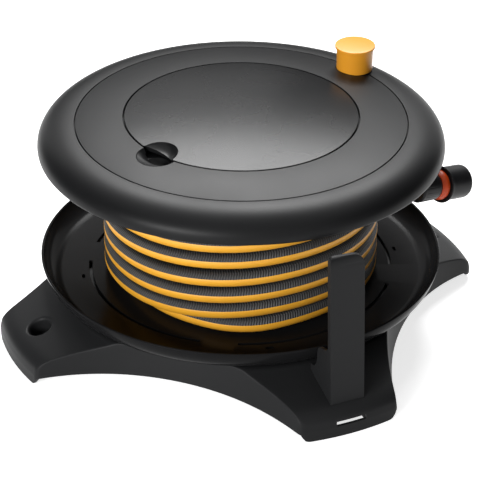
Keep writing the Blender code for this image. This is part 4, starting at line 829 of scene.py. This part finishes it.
def hollow_place(name, centre, azimuth, radius, depth, power, tilt, shelf, fall, steps=96):
    """Cutter for a hollow that curves up to the height of the lid's edge.

    power sets how round its section is, tilt raises its floor towards +Y, shelf keeps it shallow
    on the side away from the axis, and fall is the slope of the face around it.
    """
    profile = [(0, REACH), (radius * 1.5, REACH), (radius * 1.5, depth * 1.25)]
    profile += [(radius * t, depth * (t ** power - 1)) for t in np.linspace(1.3, 0, 36)]
    cutter = lathe(name, profile, steps, closed=False)
    place = Matrix.Translation(polar(centre, azimuth, LID_Z)) @ spun(azimuth)
    for vertex in cutter.data.vertices:
        if vertex.co.z < 0:
            back = (place.to_3x3() @ vertex.co).y
            share = min(max((vertex.co.x / radius + 0.05) / 0.6, 0), 1)
            ramp = share * share * (3 - 2 * share)
            vertex.co.z *= 1 - tilt * back / depth - shelf * ramp
        vertex.co.z -= fall * (vertex.co.x + centre - LID_RADIUS)
    cutter.data.transform(place)
    return cutter


def ring_top(steps=16):
    """Top of the ring, from the lid's edge out to the groove."""
    start = (LID_RADIUS + LID_GAP, LID_Z)
    end = (GROOVE - 0.4, GROOVE_Z)
    corner = ((start[0] + end[0]) / 2, LID_Z - (LID_Z - GROOVE_Z) / 5)
    return bend(start, corner, end, steps)


def make_ring():
    top = ring_top()
    inner = top[0][0]
    outer = top[-1][0]
    rounded = [(inner, top[0][1] - 0.35), (inner + 0.35, top[0][1] - 0.02)] + top[1:-1]
    rounded += [(outer - 0.35, top[-1][1] + 0.05), (outer, top[-1][1] - 0.35)]
    under = [(outer, GROOVE_Z - SKIN), (inner + SKIN, LID_Z - SKIN)]
    ring = lathe("ring", rounded + under + [(inner + SKIN, SEAT_Z), (inner, SEAT_Z)])
    # The recess's wall, kept to what lies under the ring.
    cup = bowl("cup", FINGER[2] + SKIN, CUP_DEPTH, GROOVE_Z + SKIN / 2)
    step = inner + SKIN / 2
    keep = [(0, 217), (step, 217)] + [(max(r, step), z - SKIN / 2) for r, z in top]
    keep += [(outer, ABOVE_WEB), (0, ABOVE_WEB)]
    boolean(cup, [lathe("keep", keep, closed=False)], "INTERSECT")
    boolean(ring, [cup], "UNION")
    boolean(ring, [hollow_place("pocket", **POCKET),
                   rod("notch", KNOB_RADII[1] + 2 * CLEAR, ABOVE_WEB, 250, FINE_STEPS,
                       knob_place())])
    dress(ring, "drum", SATIN, "satin_plastic", "cover_ring")


def make_lid():
    edge = LID_RADIUS - LID_GAP
    top = [(edge * i / 24, LID_Z + LID_RISE * (1 - (i / 24) ** 2)) for i in range(24)]
    top += [(edge - 0.4, LID_Z + 0.03), (edge, LID_Z - 0.4)]
    under = [(edge - SKIN, LID_Z - SKIN)]
    under += [(r, z - SKIN) for r, z in (top[20], top[14], top[7], top[0])]
    lid = lathe("lid", top + [(edge, SEAT_Z), (edge - SKIN, SEAT_Z)] + under, closed=False)
    skirt = tube("skirt", *SKIRT, STEPS)
    boolean(skirt, [bowl("notch", FINGER[2] + 2.8, CUP_DEPTH + CLEAR, GROOVE_Z + SKIN / 2)])
    # The recess's wall, kept to what lies under the lid.
    scoop = bowl("scoop", FINGER[2] + SKIN, 8, LID_Z)
    inside = edge - SKIN / 2
    keep = [(min(r, inside), z - SKIN / 2) for r, z in top[:-1]]
    keep += [(inside, ABOVE_WEB), (0, ABOVE_WEB)]
    boolean(scoop, [lathe("keep", keep, closed=False)], "INTERSECT")
    boolean(lid, [skirt, scoop], "UNION")
    # The scallop is an arc through the two places where the recess meets the lid's edge.
    half = math.sqrt(FINGER[2] ** 2 - (FINGER[0] - edge) ** 2)
    bite = (half ** 2 + SCALLOP_DEPTH ** 2) / (2 * SCALLOP_DEPTH)
    spot = polar(edge - half ** 2 / (2 * edge) - SCALLOP_DEPTH + bite, FINGER[1])
    boolean(lid, [hollow_place("hollow", **SCOOP),
                  rod("scallop", bite, 210, 260, 96, Matrix.Translation(spot))])
    dress(lid, "lid", LID, "satin_plastic", "storage_lid")


def make_knob():
    height, cap = KNOB_HEIGHT, KNOB_HEIGHT - KNOB_CAP
    wide, neck, foot = KNOB_RADII
    profile = [(0, height)]
    profile += [(wide * t, height - 0.8 * t ** 2) for t in (0.2, 0.4, 0.6, 0.8)]
    profile += bend((wide - 0.8, height - 0.75), (wide, height - 0.8), (wide, height - 1.6), 6)
    profile += bend((wide, cap + 0.6), (wide, cap), (wide - 0.5, cap), 4)
    profile += bend((neck + 0.4, cap), (neck, cap), (neck, cap - 0.6), 4)
    profile += bend((foot, 0.8), (foot, 0), (foot - 0.7, 0), 4)
    profile += [(PIN_HOLE, 0), (PIN_HOLE, PIN_ENDS[1]), (0, PIN_ENDS[1])]
    knob = lathe("knob", profile, 128, knob_place(KNOB_Z), closed=False)
    dress(knob, "knob", AMBER, "amber_plastic", "knob_grip")


# Hose

def coil_points():
    """Middle of the outer layer.  Each turn runs level and climbs to the next at the front left."""
    knots = [(0, COIL_LOW_Z), (FIRST_CLIMB, COIL_LOW_Z), (CLIMB_END, TURN_LEVELS[0])]
    for turn in range(1, len(TURN_LEVELS)):
        knots += [(360 * turn + CLIMB_START, TURN_LEVELS[turn - 1]),
                  (360 * turn + CLIMB_END, TURN_LEVELS[turn])]
    out = list(DIVE)
    for turn, swell in enumerate(SWELLS, 1):
        out += [(360 * turn + azimuth, COIL_RADIUS + swell * share)
                for azimuth, share in SWELL_SPOTS]
    azimuths = np.linspace(COIL_FROM, COIL_TO, round((COIL_TO - COIL_FROM) / COIL_STEP) + 1)
    spread = azimuths[:, None] + np.linspace(-COIL_BLEND, COIL_BLEND, 9)
    heights, radii = (np.interp(spread, *zip(*table)).mean(1) for table in (knots, out))
    return [polar(*place) for place in zip(radii, azimuths, heights)]


def end_direction():
    """The way the hose leaves the winding: straight on from its last turn."""
    return polar(1, COIL_TO + 90)


def dress_hose(obj, body, cad_node):
    dress(obj, body, HOSE_LOOK, "hose_rubber", cad_node, crease=HOSE_CREASE)


def make_winding():
    """Outer layer, carried on straight at both ends.  Gives the place where it ends."""
    points = coil_points()
    points.insert(0, points[0] + (points[0] - points[1]).normalized() * HOSE)
    points += [points[-1] + end_direction() * HOSE * i / 3 for i in (1, 2, 3)]
    dress_hose(hose("wound_hose", points, True), "drum", "hose_winding")
    return points[-1]


def make_inner_hoses():
    """Layer under the winding, and the short bored piece that feeds it."""
    radius, low, turns = SECOND_LAYER
    count = round(90 * turns)
    wound = [polar(radius, 360 * turns * i / count, low + SECOND_PITCH * turns * i / count)
             for i in range(count + 1)]
    dress_hose(hose("second_layer", wound, True), "drum", "inner_hose_layers")
    inner, outer, azimuth, z, bore = FEED
    feed = hose("inner_end", [polar(inner + (outer - inner) * i / 8, azimuth, z) for i in range(9)],
                False)
    boolean(feed, [rod("bore", bore, 0, outer + REACH, BORE_STEPS,
                       along((0, 0, z), polar(1, azimuth)))])
    dress_hose(feed, "drum", "feed_hose")


def make_free_hose(coil_end):
    """Loose end of the hose.  Gives it, its middle line, and the frame where the connector sits."""
    droop = math.radians(HOSE_DROOP)
    start = coil_end + end_direction() * CLEAR
    heading = end_direction() * math.cos(droop) - Vector((0, 0, math.sin(droop)))
    mouth = start + end_direction() * HOSE_RUN - Vector((0, 0, HOSE_FALL))
    sag = HOSE_FALL / math.tan(droop)
    corner = start + end_direction() * (HOSE_RUN - sag)
    easing = corner - end_direction() * sag
    run = [start + (easing - start) * i / 8 for i in range(8)]
    run += [Vector(p) for p in bend(easing, corner, mouth, 8)]
    run += [mouth + heading * NUT_HOLD * i / 3 for i in (1, 2, 3)]
    free = hose("loose_hose", run, False)
    dress_hose(free, "base", "free_hose")
    return free, run, along(mouth, heading)


def grip_collar(name, place):
    """Collar with a rounded front edge and a wider band at its back."""
    profile = [(12.6, 68.5)] + bend((13.3, 68.5), (GRIP, 68.5), (GRIP, 64.5), 8)
    profile += [(GRIP, z) for z in (60, 57, 54, 51, 48, 45, 42.4)]
    profile += bend((GRIP, 39.6), (17.5, 38.1), (19, 37.6), 5)
    profile += [(19, 36.8), (18.4, 36.2), (16.1, 36.2), (16.1, 66.8), (12.6, 66.8)]
    return lathe(name, profile, 144, place)


def make_connector(place):
    """Quick connector at the hose's end, in the frame of the hose's mouth.  Gives its pieces."""
    bore = CONNECTOR_BORE
    tail = lathe("tail_nut", [(bore, 27), (12.9, 27), (14.2, 24), (TAIL_NUT, 2), (13.4, 0),
                              (9.05, 0), (9.05, 9.3), (bore, 9.3)], FINE_STEPS, place, soft=0.6)
    flutes = [rod("flute", 0.7, 4, 21, 12, place @ Matrix.Translation(polar(FLUTES, 20 * i)))
              for i in range(18)]
    boolean(tail, flutes)
    dress(tail, "base", BLACK, "connector_plastic", "connector_tail")
    ring = lathe("release_ring", [(10.5, 35.5), (15.5, 35.5), (15.5, 32.5), (13.4, 27.9),
                                  (12.8, 27.3), (10.5, 27.3)], 96, place, soft=0.5)
    dress(ring, "base", FLAME, "flame_plastic", "connector_ring")
    body = lathe("socket", [(bore, 66.8), (11.4, 66.8), (12, 66.2), (12, 39.2), (15.2, 37.5),
                            (15.2, 35.8), (10.2, 35.8), (10.2, 27.3), (STEM, 27.3), (STEM, 9.6),
                            (4.2, 9.6), (4.2, 39.8), (bore, 39.8)], FINE_STEPS, place, soft=0.3)
    dress(body, "base", BLACK, "connector_plastic", "connector_body")
    collar = grip_collar("collar", place)
    dress(collar, "collar", BLACK, "connector_plastic", "connector_collar")
    return [tail, ring, body, collar]


make_base()
make_post()
make_dish()
make_upper_flange()
make_ring()
make_lid()
make_knob()
coil_end = make_winding()
make_inner_hoses()
loose, route, socket = make_free_hose(coil_end)
on_hose = make_connector(socket)

# CAD nodes that stay, with their finish
FINISHES = {
    "charcoal_plastic": CHARCOAL, "satin_plastic": SATIN, "dish_plastic": DISH,
    "pale_plastic": PALE, "amber_plastic": AMBER, "flame_plastic": FLAME,
    "connector_plastic": BLACK, "soft_rubber": SOFT, "steel": STEEL, "brass": BRASS,
}
for entry in frame["record"]["subparts"]:
    kept = frame["nodes"][entry["node"]]
    kept.data.materials.clear()
    kept.data.materials.append(FINISHES.get(entry["material_slot"], HOSE_LOOK))


# Camera, floor and light

def make_camera():
    data = bpy.data.cameras.new("camera")
    data.lens = LENS
    data.sensor_width = 36.0
    data.clip_end = 50.0
    camera = bpy.data.objects.new("camera", data)
    scene.collection.objects.link(camera)
    turn = math.radians(CAMERA_AZIMUTH)
    pitch = math.radians(CAMERA_PITCH)
    level = Vector((-math.sin(turn), math.cos(turn), 0))
    ahead = level * math.cos(pitch) - Vector((0, 0, math.sin(pitch)))
    right = level.cross(Vector((0, 0, 1))).normalized()
    up = right.cross(ahead)
    roll = math.radians(CAMERA_ROLL)
    across = right * math.cos(roll) + up * math.sin(roll)
    upward = up * math.cos(roll) - right * math.sin(roll)
    place = Matrix((across, upward, -ahead)).transposed().to_4x4()
    camera.matrix_world = Matrix.Translation(CAMERA_AT) @ place
    scene.camera = camera


def softbox(name, turn, lift, distance, size, power):
    """Area lamp that faces the reel.

    turn is its azimuth to the left of the way the camera looks, lift its height, both in degrees.
    distance and size are in metres.
    """
    light = bpy.data.lights.new(name, "AREA")
    light.shape = "RECTANGLE"
    light.size, light.size_y = size
    light.energy = power
    lamp = bpy.data.objects.new(name, light)
    scene.collection.objects.link(lamp)
    lift = math.radians(lift)
    away = polar(math.cos(lift), 90 + CAMERA_AZIMUTH + turn, math.sin(lift))
    lamp.matrix_world = along(Vector((0, 0, LIT_Z)) + away * distance, away)


def flag(name, turn, distance, size):
    """Upright dark panel beside the reel, out of the picture, that keeps the white room off it.

    distance and size are in metres, turn is as in softbox.
    """
    wide, high = size
    panel = block(name, (-wide / 2, -FLAG_HALF, FLAG_FOOT), (wide / 2, FLAG_HALF, high),
                  spun(CAMERA_AZIMUTH + turn) @ Matrix.Translation((0, distance, 0)))
    panel.data.materials.append(FLAG)
    panel.visible_camera = False


def seen_directly(tree):
    """1 for camera, glossy and transmitted rays, and 0 for the rest."""
    path = node(tree, "ShaderNodeLightPath", {})
    glossy = maths(tree, "MAXIMUM", path["Is Camera Ray"], path["Is Glossy Ray"])
    return maths(tree, "MAXIMUM", glossy, path["Is Transmission Ray"])


def make_floor():
    """White ground.  Seen directly it also glows, so that it ends in the white of the world."""
    size = FLOOR_HALF
    mesh = bpy.data.meshes.new("floor")
    mesh.from_pydata([(-size, -size, 0), (size, -size, 0), (size, size, 0), (-size, size, 0)], [],
                     [(0, 1, 2, 3)])
    floor = bpy.data.objects.new("floor", mesh)
    scene.collection.objects.link(floor)
    look, tree, shader = material("floor")
    fill(shader, {"Base Color": (0.80, 0.80, 0.80, 1), "Roughness": 0.9,
                  "Specular IOR Level": 0.1})
    share = maths(tree, "MULTIPLY", seen_directly(tree), FLOOR_GLOW)
    glow = node(tree, "ShaderNodeEmission", {"Color": (1, 1, 1, 1), "Strength": share})
    both = node(tree, "ShaderNodeAddShader", {0: shader.outputs[0], 1: glow[0]})
    fill(tree.nodes["Material Output"], {"Surface": both[0]})
    mesh.materials.append(look)


def make_world():
    """White to the camera and in reflections, and a weak light otherwise."""
    world = bpy.data.worlds.new("studio")
    scene.world = world
    world.use_nodes = True
    tree = world.node_tree
    level = node(tree, "ShaderNodeMapRange", {"Value": seen_directly(tree),
                                              "To Min": WORLD_LIGHT, "To Max": 1.0})
    fill(tree.nodes["Background"], {"Color": (1, 1, 1, 1), "Strength": level["Result"]})


FLAG = surface("flag_cloth", (0.010, 0.010, 0.010), 0.9, specular=0.0)

make_camera()
make_floor()
make_world()
softbox("back", -4, 50, 2.4, (1.5, 1.0), 92)
softbox("front", 146, 16, 3.0, (1.6, 0.8), 85)
flag("strip", -10, 2.2, (0.46, 3.0))
flag("right", -85, 1.5, (2.6, 2.0))
flag("left", 85, 1.5, (2.6, 2.0))
flag("low", 10, 2.0, (1.2, 0.75))

scene.view_settings.view_transform = "Standard"
